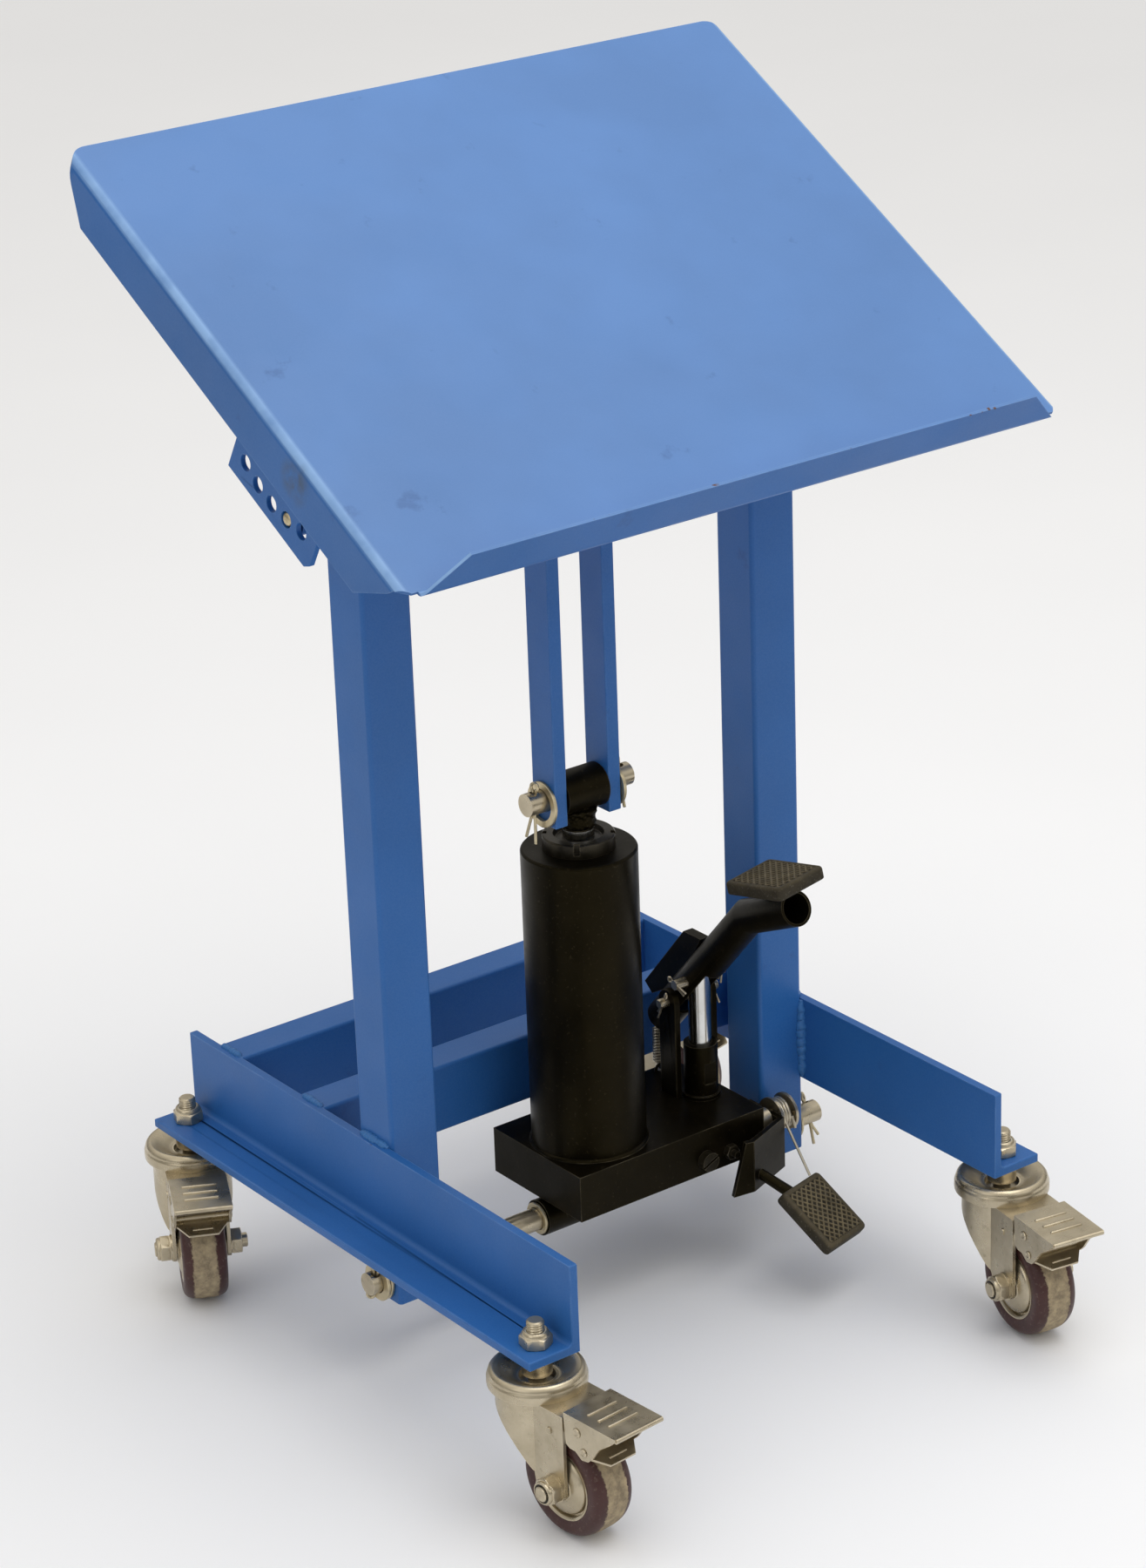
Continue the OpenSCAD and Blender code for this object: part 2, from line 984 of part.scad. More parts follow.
module release_pedal() {
    plate_bottom = 68;
    rod_r = 3.8;
    color(black) {
        difference() {
            union() {
                box(pedal_arm_x, pedal_arm_x + 4, -49, -13, 86, 107);
                on_release_plate() {
                    box(-44, -1.3, -4, 0, plate_bottom, 107);
                    translate([-43, 0, 0])
                        rotate([0, 0, -35])
                            rotate([90, 0, 0])
                                linear_extrude(4)
                                    polygon([
                                        [1, 107], [-5, 107],
                                        [-15, plate_bottom - 1], [1, plate_bottom]
                                    ]);
                }
            }
            rod_x(pedal_arm_x - 5, pedal_arm_x + 9, stud_y, stud_z, 5 + clear);
        }
        hull() {
            on_release_plate()
                translate([-35, -3, 78])
                    sphere(3.8, $fn = 20);
            on_release_pad()
                translate([0, pad_l / 2, -rod_r - 0.5])
                    sphere(4.3, $fn = 20);
        }
        on_release_pad() {
            translate([0, pad_l / 2, -rod_r - 0.1])
                rotate([90, 0, 0])
                    cylinder(h = pad_l * 0.8, r = rod_r);
            box(-2.5, 2.5, -pad_l * 0.3, pad_l * 0.4, -rod_r, 1);
            pad_plate();
        }
    }
}

module release_pad() {
    color(rubber)
        on_release_pad()
            rubber_pad();
}

module torsion_spring() {
    color(zinc) {
        for (n = [0 : 3])
            translate([pedal_arm_x + 8.1 + 2.4 * n, stud_y, stud_z])
                rotate([0, 90, 0])
                    rotate_extrude($fn = 32)
                        translate([10.5, 0])
                            circle(1.3, $fn = 14);
        translate([pedal_arm_x + 8.1, stud_y - 10.5, stud_z])
            rotate([141, 0, 0])
                cylinder(h = 44, r = 1.1, $fn = 14);
    }
}

// -------------------------------------------------------------- casters

module at_caster(n) {
    translate([caster_pos[n][0], caster_pos[n][1], 0])
        rotate([0, 0, caster_yaw[n]])
            children();
}

module at_casters() {
    for (n = [0 : 3])
        at_caster(n)
            children();
}

module caster_bolts() {
    color(zinc)
        at_casters() {
            translate([0, 0, cup_bottom - 3])
                cylinder(h = 46.5, r = 6);
            translate([0, 0, cup_bottom - 9])
                cylinder(h = 5.8, r = 11);
            translate([0, 0, cup_bottom + 6])
                cylinder(h = rail_z - cup_bottom - 6, r = 10);
        }
}

module caster_nuts() {
    color(zinc)
        at_casters()
            translate([0, 0, rail_z + rail_t])
                difference() {
                    union() {
                        hex_nut(19, 7.8);
                        cylinder(h = 11, r = 8.6);
                    }
                    translate([0, 0, -1])
                        cylinder(h = 20, r = 6);
                }
}

// Side view of everything the fork keeps: its legs sweep forward to the axle.
module fork_outline() {
    polygon([
        [30, 100], [30, 85], [21, 82], [10, 75], [2, 68.5], [-5, 61], [-10.5, 53.5],
        [-17, 43], [-trail + 8, axle_height - 7], [-trail, axle_height - 10],
        [fork_front, axle_height - 4], [fork_front, 100]
    ]);
    translate([-trail, axle_height])
        circle(10);
}

module fork_body() {
    outer = fork_inner + fork_t;
    fold = -sqrt(fork_r * fork_r - outer * outer);
    plate_z = cup_bottom - 3;
    intersection() {
        union() {
            difference() {
                translate([0, 0, 40])
                    cylinder(h = cup_bottom - 40, r = fork_r, $fn = 96);
                translate([0, 0, 39])
                    cylinder(h = plate_z - 39, r = fork_r - fork_t, $fn = 96);
                box(-40, 40, fork_front, fold - 0.4, 30, 120);
            }
            for (side = [0, 1])
                mirror([side, 0, 0]) {
                    box(fork_inner, outer, fork_front, fold + 0.5, 20, cup_bottom);
                    box(fork_inner - 2, fork_inner + 0.2, fork_front - 18, fork_front + 14,
                        brake_z - 6, cup_bottom - 3);
                }
            box(-outer, outer, fork_front, fold + 0.5, plate_z, cup_bottom);
        }
        rotate([90, 0, 90])
            translate([0, 0, -40])
                linear_extrude(80)
                    union() {
                        fork_outline();
                        translate([fork_front - 20, brake_z - 6])
                            square([30, 20]);
                    }
    }
}

// The caster's housing: fork, ball race cup and wheel axle in one.
module fork() {
    outer = fork_inner + fork_t;
    color(zinc)
        difference() {
            union() {
                fork_body();
                rotate_extrude($fn = 96)
                    polygon([
                        [12, cup_bottom - 0.6], [cup_r - 1, cup_bottom - 0.6],
                        [cup_r, cup_bottom + 0.6],
                        [cup_r, cup_bottom + 5], [cup_r - 1.5, cup_top - 2],
                        [cup_r - 4, cup_top], [cup_r - 8, cup_top - 1.5],
                        [15, cup_bottom + 4], [12, cup_bottom + 4]
                    ]);
                translate([0, -trail, axle_height])
                    rotate([0, 90, 0]) {
                        cylinder(h = 62, r = caster_axle_r, center = true);
                        translate([0, 0, outer])
                            hex_nut(17, 6.5);
                        translate([0, 0, -outer - 1])
                            cylinder(h = 1.5, r = 9.4);
                        translate([0, 0, -outer - 7])
                            hex_nut(17, 6.5);
                        translate([0, 0, -outer - 9])
                            cylinder(h = 4, r = 7.2);
                    }
                for (side = [-1, 1])
                    translate([side * outer, -33, 78])
                        rotate([0, side * 90, 0])
                            cylinder(h = 0.8, r = 2.4);
            }
            translate([0, 0, cup_bottom - 20])
                cylinder(h = 60, r = 6.1);
            for (side = [-1, 1])
                translate([side * (fork_inner - 3), brake_y, brake_z])
                    rotate([0, side * 90, 0])
                        cylinder(h = 10, r = 2.5 + clear);
        }
}

module at_wheel() {
    translate([0, -trail, axle_height])
        rotate([0, 90, 0])
            children();
}

module tyre() {
    side = wheel_w / 2;
    r = wheel_d / 2;
    color(maroon)
        at_wheel()
            rotate_extrude($fn = 96)
                polygon([
                    [25, -side + 1], [30, -side + 0.5], [r - 5, -side + 1.5], [r - 2, -side + 3],
                    [r - 0.5, -side + 6], [r, -side + 10], [r, side - 10],
                    [r - 0.5, side - 6], [r - 2, side - 3], [r - 5, side - 1.5],
                    [30, side - 0.5], [25, side - 1]
                ]);
}

module hub() {
    side = wheel_w / 2;
    bore = caster_axle_r + clear;
    color(zinc)
        at_wheel()
            rotate_extrude($fn = 64)
                polygon([
                    [bore, -side - 1.6], [11, -side - 1.6], [20, -side + 1], [22.5, -side + 3],
                    [25, -side + 0.5], [25, side - 0.5], [22.5, side - 3], [20, side - 1],
                    [11, side + 1.6], [bore, side + 1.6]
                ]);
}

// Side plate of the brake pedal.
module brake_cheek() {
    polygon([
        [brake_y + 12.2, brake_z + 8.5], [brake_y + 10.4, brake_z - 12],
        [brake_y + 7, brake_z - 14], [brake_y + 2, brake_z - 14],
        [brake_y - 4, brake_z - 18], [brake_y - 10, brake_z - 17],
        [brake_y - 14, brake_z - 13], [brake_y - 20, brake_z - 4],
        [brake_y - 31, brake_z + 4], [brake_y - 36, brake_z + 8.5]
    ]);
}

// The brake pedal turns on a rivet in front of the fork.
module brake() {
    plate_in = fork_inner + 0.4;
    plate_out = fork_inner + 2.2;
    color(zinc) {
        for (side = [0, 1])
            mirror([side, 0, 0])
                translate([plate_in, 0, 0])
                    rotate([90, 0, 90])
                        linear_extrude(plate_out - plate_in)
                            brake_cheek();
        translate([0, brake_y, brake_z])
            rotate([0, 90, 0])
                cylinder(h = 2 * plate_out + 1.4, r = 2.5, center = true);
        translate([0, brake_y - 6, brake_z - 12])
            rotate([0, 90, 0])
                cylinder(h = 2 * plate_out + 1.4, r = 2.2, center = true);
        box(-plate_out, plate_out, brake_y - 36, brake_y + 12.2, brake_z + 8, brake_z + 9.8);
        translate([0, brake_y - 3, brake_z - 14.5])
            rotate([18, 0, 0])
                linear_extrude(1.6)
                    polygon([
                        [-plate_out + 0.5, 0], [plate_out - 0.5, 0], [plate_out - 0.5, -5],
                        [10.4, -18], [-10.4, -18], [-plate_out + 0.5, -5]
                    ]);
    }
}

module fl_fork() {
    at_caster(0)
        fork();
}

module fl_hub() {
    at_caster(0)
        hub();
}

module fl_tyre() {
    at_caster(0)
        tyre();
}

module fl_brake() {
    at_caster(0)
        brake();
}

module fr_fork() {
    at_caster(1)
        fork();
}

module fr_hub() {
    at_caster(1)
        hub();
}

module fr_tyre() {
    at_caster(1)
        tyre();
}

module fr_brake() {
    at_caster(1)
        brake();
}

module rl_fork() {
    at_caster(2)
        fork();
}

module rl_hub() {
    at_caster(2)
        hub();
}

module rl_tyre() {
    at_caster(2)
        tyre();
}

module rl_brake() {
    at_caster(2)
        brake();
}

module rr_fork() {
    at_caster(3)
        fork();
}

module rr_hub() {
    at_caster(3)
        hub();
}

module rr_tyre() {
    at_caster(3)
        tyre();
}

module rr_brake() {
    at_caster(3)
        brake();
}

// ---------------------------------------------------------------- build

translate([0, upright_y, 0]) {
    left_rail();
    right_rail();
    rear_cross_tube();
    middle_cross_tube();
    left_upright();
    right_upright();
    frame_welds();
    guide_bushes();
    axle();
    axle_retainers();
    pump_block();
    jacket();
    pressure_tube();
    gland_nut();
    block_screws();
    plunger_housing();
    fulcrum_lugs();
    fulcrum_pin();
    return_spring();
    release_stud();
    lift_tubes();
    slide_pads();
    lift_beam();
    lift_bars();
    tilt_arms();
    ram_rod();
    ram_head();
    clevis_pin();
    clevis_retainers();
    hinge_bolts();
    table_top();
    table_ribs();
    hole_brackets();
    left_lock_pin();
    right_lock_pin();
    pump_lever();
    pump_pad();
    plunger();
    plunger_pin();
    release_pedal();
    release_pad();
    torsion_spring();
    caster_bolts();
    caster_nuts();
    fl_fork();
    fl_hub();
    fl_tyre();
    fl_brake();
    fr_fork();
    fr_hub();
    fr_tyre();
    fr_brake();
    rl_fork();
    rl_hub();
    rl_tyre();
    rl_brake();
    rr_fork();
    rr_hub();
    rr_tyre();
    rr_brake();
}
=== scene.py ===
"""Looks of the mobile work table: materials, fine detail pieces, camera and light.

Detail shapes are worked out in millimetres and turned into metres when their
mesh is made.  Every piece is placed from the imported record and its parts.
"""
import json
import math
import random

import bpy
import numpy as np
from mathutils import Matrix, Vector


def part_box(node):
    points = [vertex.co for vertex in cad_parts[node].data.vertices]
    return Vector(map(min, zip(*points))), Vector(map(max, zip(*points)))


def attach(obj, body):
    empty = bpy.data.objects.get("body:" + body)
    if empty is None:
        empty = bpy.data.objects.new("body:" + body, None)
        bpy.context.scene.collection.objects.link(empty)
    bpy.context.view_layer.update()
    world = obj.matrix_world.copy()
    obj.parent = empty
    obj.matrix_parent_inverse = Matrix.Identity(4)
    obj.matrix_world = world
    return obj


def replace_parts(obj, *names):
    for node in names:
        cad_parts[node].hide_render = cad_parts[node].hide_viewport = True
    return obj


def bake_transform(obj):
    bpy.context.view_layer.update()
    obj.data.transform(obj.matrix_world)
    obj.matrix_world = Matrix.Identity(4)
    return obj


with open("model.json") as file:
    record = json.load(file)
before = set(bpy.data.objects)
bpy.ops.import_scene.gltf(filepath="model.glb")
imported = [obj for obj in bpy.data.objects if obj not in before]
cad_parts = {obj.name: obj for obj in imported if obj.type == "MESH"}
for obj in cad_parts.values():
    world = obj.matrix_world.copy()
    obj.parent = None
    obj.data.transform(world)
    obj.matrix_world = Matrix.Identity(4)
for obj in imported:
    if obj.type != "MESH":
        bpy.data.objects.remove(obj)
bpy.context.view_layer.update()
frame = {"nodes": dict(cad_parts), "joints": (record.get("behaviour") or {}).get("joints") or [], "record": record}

NODES = frame["nodes"]
JOINTS = {joint["name"]: joint for joint in frame["joints"]}
CASTERS = ("fl", "fr", "rl", "rr")
MM = 0.001


# ------------------------------------------------------------ reading the frame

def box_mm(node):
    """Lowest and highest corner of a CAD node, in millimetres."""
    low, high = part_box(node)
    return low / MM, high / MM


def middle(node):
    low, high = box_mm(node)
    return (low + high) / 2


def joint_point(name):
    return Vector(JOINTS[name]["pos_m"]) / MM


def frame_of(origin, x_axis, z_axis):
    """A placing matrix with the given origin, x axis and (nearly) z axis."""
    x = Vector(x_axis).normalized()
    y = Vector(z_axis).cross(x).normalized()
    z = x.cross(y)
    place = Matrix((x, y, z)).transposed().to_4x4()
    place.translation = Vector(origin)
    return place


def caster_frame(name):
    """Frame of one caster: x along the wheel's axle, -y to its brake."""
    axis = JOINTS[name + "_wheel_turn"]["axis"]
    origin = joint_point(name + "_swivel_turn")
    origin.z = 0
    return frame_of(origin, axis, (0, 0, 1))


def slab_frame(node):
    """Frame of a flat pad: z out of its face, y along its longer side."""
    mesh = NODES[node].data
    points = np.array([v.co for v in mesh.vertices]) / MM
    low, high = points.min(0), points.max(0)
    spread = np.linalg.eigh(np.cov((np.unique(points.round(4), axis=0)).T))[1]
    z = Vector(spread[:, 0])
    z = z if z.z > 0 else -z
    y = Vector(spread[:, 2])
    y = y if y.y > 0 else -y
    x = y.cross(z)
    along_z = points @ np.array(z)
    centre = (Vector(low) + Vector(high)) / 2
    centre += z * (along_z.min() - centre.dot(z))
    size = [np.ptp(points @ np.array(axis)) for axis in (x, y, z)]
    return frame_of(centre, x, z), size


# The uprights, the ram and the axle all stand in this plane.
UPRIGHT_Y = middle("left_upright").y
# The way the tilted panel faces, from the mount on its surface.
PANEL_UP = Vector(frame["record"]["mounts"][0]["axis"])


# ------------------------------------------------------------ mesh building

class Shape:
    """Vertices and faces in millimetres, gathered from several simple forms."""

    def __init__(self):
        self.points = []
        self.faces = []
        self.marks = []

    def add(self, points, faces, place=Matrix(), marks=None):
        start = len(self.points)
        self.points += [place @ Vector(p) for p in points]
        self.faces += [[start + i for i in face] for face in faces]
        self.marks += list(marks) if marks is not None else [0.0] * len(points)

    def rings(self, rings, place=Matrix(), caps=(True, True), around=False, marks=None):
        """Joins rings of points, each with the same number of points."""
        count = len(rings[0])
        faces = []
        pairs = list(zip(range(len(rings) - 1), range(1, len(rings))))
        if around:
            pairs.append((len(rings) - 1, 0))
        for low, high in pairs:
            for i in range(count):
                j = (i + 1) % count
                faces.append([low * count + i, low * count + j, high * count + j, high * count + i])
        if caps[0] and not around:
            faces.append(list(reversed(range(count))))
        if caps[1] and not around:
            faces.append([(len(rings) - 1) * count + i for i in range(count)])
        self.add([p for ring in rings for p in ring], faces, place, marks)

    def lathe(self, profile, place=Matrix(), steps=64, closed=False, wobble=None, marks=None):
        """Turns (radius, height) points round the z axis, with one mark for each."""
        rings = []
        for radius, height in profile:
            ring = []
            for i in range(steps):
                angle = 2 * math.pi * i / steps
                extra = wobble(angle, height) if wobble else 0.0
                ring.append(((radius + extra) * math.cos(angle),
                             (radius + extra) * math.sin(angle), height))
            rings.append(ring)
        spread = None if marks is None else [mark for mark in marks for _ in range(steps)]
        self.rings(rings, place, around=closed, marks=spread)

    def sweep(self, path, radius, place=Matrix(), sides=10, flat=1.0):
        """A rod along a path.  radius is a number or a function of 0..1."""
        path = [Vector(p) for p in path]
        side = (path[1] - path[0]).orthogonal().normalized()
        rings = []
        for i, point in enumerate(path):
            ahead = (path[min(i + 1, len(path) - 1)] - path[max(i - 1, 0)]).normalized()
            side = (side - ahead * side.dot(ahead)).normalized()
            up = ahead.cross(side)
            r = radius(i / (len(path) - 1)) if callable(radius) else radius
            rings.append([point + side * r * math.cos(2 * math.pi * k / sides)
                          + up * r * flat * math.sin(2 * math.pi * k / sides)
                          for k in range(sides)])
        self.rings(rings, place)

    def hexagon_nut(self, across, height, place=Matrix(), bore=0.0, steps=10):
        """A hexagon with its corners turned off, as on real nuts."""
        outer = across / 2
        angles = [math.pi / 3 * (k + i / steps) for k in range(6) for i in range(steps)]
        levels = [0.0, 0.03, 0.07, 0.12, 0.88, 0.93, 0.97, 1.0]

        def ring(level):
            to_end = min(level, 1 - level) * height
            turned = outer * 0.955 + to_end * 1.9
            points = []
            for angle in angles:
                flat = outer / math.cos((angle % (math.pi / 3)) - math.pi / 6)
                r = min(flat, turned)
                points.append((r * math.cos(angle), r * math.sin(angle), level * height))
            return points

        rings = [ring(level) for level in levels]
        if bore:
            top = [(bore * math.cos(a), bore * math.sin(a), height) for a in angles]
            low = [(bore * math.cos(a), bore * math.sin(a), height * 0.6) for a in angles]
            rings += [top, low]
        self.rings(rings, place)

    def thread(self, radius, height, place=Matrix(), pitch=1.75, depth=0.55):
        """A threaded stud with a chamfered top, standing on z = 0."""
        steps, rows = 28, int(height / pitch * 8)
        rings = []
        for row in range(rows + 1):
            z = height * row / rows
            ring = []
            for i in range(steps):
                phase = (z / pitch - i / steps) % 1.0
                r = radius - depth * abs(2 * phase - 1)
                r = min(r, radius - 1.3 + (height - z))
                angle = 2 * math.pi * i / steps
                ring.append((r * math.cos(angle), r * math.sin(angle), z))
            rings.append(ring)
        self.rings(rings, place)

    def make(self, name, material, body, smooth=40):
        """Turns the shape into an object in metres that rides on a body."""
        mesh = bpy.data.meshes.new(name)
        mesh.from_pydata([Vector(p) * MM for p in self.points], [], self.faces)
        mark = mesh.attributes.new("mark", "FLOAT", "POINT")
        mark.data.foreach_set("value", self.marks)
        mesh.validate()
        mesh.update()
        mesh.polygons.foreach_set("use_smooth", [True] * len(mesh.polygons))
        mesh.set_sharp_from_angle(angle=math.radians(smooth))
        mesh.materials.append(material)
        obj = bpy.data.objects.new(name, mesh)
        bpy.context.scene.collection.objects.link(obj)
        if body:
            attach(obj, body)
        return obj


def turn_x(degrees):
    return Matrix.Rotation(math.radians(degrees), 4, "X")


def turn_y(degrees):
    return Matrix.Rotation(math.radians(degrees), 4, "Y")


def turn_z(degrees):
    return Matrix.Rotation(math.radians(degrees), 4, "Z")


def at(x, y, z):
    return Matrix.Translation((x, y, z))


def helix(radius, pitch, turns, steps=20):
    """Points of a coil standing on z = 0."""
    count = int(turns * steps)
    return [Vector((radius * math.cos(2 * math.pi * i / steps),
                    radius * math.sin(2 * math.pi * i / steps),
                    pitch * i / steps)) for i in range(count + 1)]


def bent(corners, radius, steps=5):
    """A path through the corners with each bend rounded."""
    corners = [Vector(c) for c in corners]
    path = [corners[0]]
    for before, corner, after in zip(corners, corners[1:], corners[2:]):
        cut = min(radius, (corner - before).length / 2, (after - corner).length / 2)
        start = corner + (before - corner).normalized() * cut
        end = corner + (after - corner).normalized() * cut
        for i in range(steps + 1):
            t = i / steps
            path.append(start * (1 - t) ** 2 + corner * 2 * t * (1 - t) + end * t ** 2)
    path.append(corners[-1])
    return path


def bead_radius(base, seed):
    """An uneven, rippled radius for a weld bead."""
    rng = random.Random(seed)
    shifts = [rng.uniform(0, 6.28) for _ in range(3)]

    def radius(t):
        ripple = 0.10 * math.sin(60 * t + shifts[0]) + 0.08 * math.sin(23 * t + shifts[1])
        lump = 0.12 * math.sin(9 * t + shifts[2])
        ends = min(1.0, 0.35 + 6 * min(t, 1 - t))
        return base * ends * (1 + ripple + lump)

    return radius


# ------------------------------------------------------------ materials

class Nodes:
    """Short ways to add and link shader nodes."""

    def __init__(self, name):
        self.material = bpy.data.materials.new(name)
        self.material.use_nodes = True
        self.tree = self.material.node_tree
        self.shader = self.tree.nodes["Principled BSDF"]
        coordinates = self.add("ShaderNodeTexCoord")
        self.place = coordinates.outputs["Object"]
        self.normal = coordinates.outputs["Normal"]

    def add(self, kind, **settings):
        node = self.tree.nodes.new(kind)
        for key, value in settings.items():
            setattr(node, key, value)
        return node

    def plug(self, source, socket):
        if isinstance(source, (int, float)):
            socket.default_value = source
        elif isinstance(source, (tuple, list)):
            socket.default_value = (*source, 1.0)
        else:
            self.tree.links.new(source, socket)

    def noise(self, scale, detail=4.0, rough=0.55, where=None):
        node = self.add("ShaderNodeTexNoise")
        self.plug(where or self.place, node.inputs["Vector"])
        node.inputs["Scale"].default_value = scale
        node.inputs["Detail"].default_value = detail
        node.inputs["Roughness"].default_value = rough
        return node.outputs[0]

    def ramp(self, value, low, high, to_low=0.0, to_high=1.0):
        node = self.add("ShaderNodeMapRange")
        node.clamp = True
        self.plug(value, node.inputs["Value"])
        node.inputs["From Min"].default_value = low
        node.inputs["From Max"].default_value = high
        node.inputs["To Min"].default_value = to_low
        node.inputs["To Max"].default_value = to_high
        return node.outputs[0]

    def math(self, operation, a, b=0.0):
        node = self.add("ShaderNodeMath", operation=operation)
        self.plug(a, node.inputs[0])
        self.plug(b, node.inputs[1])
        return node.outputs[0]

    def mix(self, amount, a, b):
        node = self.add("ShaderNodeMix", data_type="RGBA")
        self.plug(amount, node.inputs["Factor"])
        self.plug(a, node.inputs[6])
        self.plug(b, node.inputs[7])
        return node.outputs[2]

    def edges(self, radius):
        """How near a point is to a sharp edge, from 0 to 1."""
        soft = self.add("ShaderNodeBevel", samples=4)
        soft.inputs["Radius"].default_value = radius * MM
        hard = self.add("ShaderNodeNewGeometry").outputs["Normal"]
        dot = self.add("ShaderNodeVectorMath", operation="DOT_PRODUCT")
        self.plug(soft.outputs[0], dot.inputs[0])
        self.plug(hard, dot.inputs[1])
        return self.ramp(dot.outputs["Value"], 0.995, 0.80)

    def bump(self, height, strength, distance):
        node = self.add("ShaderNodeBump")
        node.inputs["Strength"].default_value = strength
        node.inputs["Distance"].default_value = distance * MM
        self.plug(height, node.inputs["Height"])
        return node.outputs[0]

    def toward(self, vector, direction, scale=1.0):
        """How far a vector socket points along a direction."""
        node = self.add("ShaderNodeVectorMath", operation="DOT_PRODUCT")
        self.plug(vector, node.inputs[0])
        node.inputs[1].default_value = Vector(direction) * scale
        return node.outputs["Value"]

    def from_point(self, point):
        """The vector from a point of the object, in metres."""
        node = self.add("ShaderNodeVectorMath", operation="SUBTRACT")
        self.plug(self.place, node.inputs[0])
        node.inputs[1].default_value = point
        return node.outputs[0]

    def spot(self, centre, radius):
        """1 at a point of the object, given in mm, fading to 0 at the radius."""
        node = self.add("ShaderNodeVectorMath", operation="LENGTH")
        self.plug(self.from_point(Vector(centre) * MM), node.inputs[0])
        return self.ramp(node.outputs["Value"], radius * MM, radius * MM * 0.3)

    def finish(self, color, rough, metal=0.0, normal=None, specular=0.5, coat=0.0):
        inputs = self.shader.inputs
        self.plug(color, inputs["Base Color"])
        self.plug(rough, inputs["Roughness"])
        self.plug(metal, inputs["Metallic"])
        inputs["Specular IOR Level"].default_value = specular
        inputs["Coat Weight"].default_value = coat
        inputs["Coat Roughness"].default_value = 0.25
        if normal is not None:
            self.plug(normal, inputs["Normal"])
        return self.material


def table_height(n):
    """Distance above the tilted table's hinge, square to its panel, in mm."""
    hinge = Vector(JOINTS["table_tilt"]["pos_m"])
    return n.toward(n.from_point(hinge), PANEL_UP, 1 / MM)


BLUE = (0.020, 0.125, 0.400)
# Paler blue of the table's panel: worn paint with painted light from above added; also darkened for the large soft
# bands.
TOP_LIT_WORN_BLUE = (0.097, 0.222, 0.510)
PALE_BLUE = (0.160, 0.300, 0.560)
DARK_BLUE = (0.016, 0.052, 0.180)
# Light blue of the painted highlight along the table's bends.
BEND_HIGHLIGHT_BLUE = (0.235, 0.400, 0.680)
RUST = (0.120, 0.060, 0.035)
# Dark grey-blue of the painted shade patch on the table's left flange.
SHADE_PATCH_COLOR = (0.060, 0.075, 0.085)


def painted_blue(n, base):
    """Colour of blue enamel: an uneven film with small scuffs and stains."""
    cloud = n.ramp(n.noise(9.0, 3.0), 0.35, 0.65)
    deeper = n.add("ShaderNodeHueSaturation")
    deeper.inputs["Value"].default_value = 0.86
    n.plug(base, deeper.inputs["Color"])
    color = n.mix(n.math("MULTIPLY", cloud, 0.75), base, deeper.outputs[0])
    grain = n.ramp(n.noise(900.0, 2.0), 0.3, 0.7)
    color = n.mix(n.math("MULTIPLY", grain, 0.08), color, PALE_BLUE)
    stain = n.math("MULTIPLY", n.ramp(n.noise(34.0, 5.0, 0.6), 0.66, 0.74), 0.30)
    return n.mix(stain, color, DARK_BLUE)


def worn_edges(n, color):
    """Pale rubbed edges with a few rusty chips.  Gives colour and chips."""
    edge = n.edges(1.4)
    patchy = n.ramp(n.noise(60.0, 3.0), 0.35, 0.60, 0.20, 0.75)
    color = n.mix(n.math("MULTIPLY", edge, patchy), color, PALE_BLUE)
    chip = n.math("MULTIPLY", edge, n.ramp(n.noise(95.0, 4.0, 0.7), 0.66, 0.69))
    return color, chip


def enamel(n, color, chip, lumps=0.10):
    """Finishes a blue paint: satin, duller where it is chipped."""
    color = n.mix(chip, color, RUST)
    rough = n.ramp(n.noise(22.0, 4.0), 0.3, 0.7, 0.36, 0.50)
    rough = n.math("ADD", rough, n.math("MULTIPLY", chip, 0.35))
    skin = n.math("ADD", n.noise(260.0, 2.0), n.math("MULTIPLY", n.noise(25.0, 2.0), 1.5))
    return n.finish(color, rough, normal=n.bump(skin, 0.25, lumps), specular=0.28, coat=0.04)


def blue_paint(name, base, lumps=0.10):
    n = Nodes(name)
    return enamel(n, *worn_edges(n, painted_blue(n, base)), lumps)


def table_paint(name, lip_top, left_face):
    """Paint of the table: a duller panel that is partly worn paint and partly painted top light, a painted
    highlight along the bends, a patch of painted shade on the left flange and a chipped lip.
    """
    n = Nodes(name)
    facing = n.toward(n.normal, PANEL_UP)
    # Faces turned up the panel get the paler blue, partly worn paint and partly painted top light; the flanges and
    # the lip's face keep the deeper blue.
    color = n.mix(n.ramp(facing, 0.75, 0.97), BLUE, TOP_LIT_WORN_BLUE)
    band = n.ramp(n.noise(2.6, 1.5), 0.40, 0.62)
    color = n.mix(n.math("MULTIPLY", band, 0.20), color, [c * 0.7 for c in TOP_LIT_WORN_BLUE])
    color = painted_blue(n, color)
    # Painted highlight along the rounded bends from the panel into the flanges; the rubbed noise only breaks this
    # painted highlight into patches.
    bend = n.math("MINIMUM", n.ramp(facing, 0.25, 0.55), n.ramp(facing, 0.995, 0.93))
    rubbed = n.ramp(n.noise(40.0, 3.0), 0.30, 0.60, 0.55, 0.95)
    color = n.mix(n.math("MULTIPLY", bend, rubbed), color, BEND_HIGHLIGHT_BLUE)
    # Painted shade: a noisy dark patch within 17 mm of a point on the left flange near the hinge.
    shade_patch = n.math("MULTIPLY", n.spot(left_face, 17), n.ramp(n.noise(70.0, 4.0), 0.38, 0.60))
    color = n.mix(n.math("MULTIPLY", shade_patch, 0.75), color, SHADE_PATCH_COLOR)
    color, chip = worn_edges(n, color)
    high = n.ramp(table_height(n), lip_top - 1.6, lip_top - 0.8)
    more = n.math("MULTIPLY", high, n.ramp(n.noise(48.0, 3.0, 0.7), 0.64, 0.67))
    return enamel(n, color, n.math("MAXIMUM", chip, more))


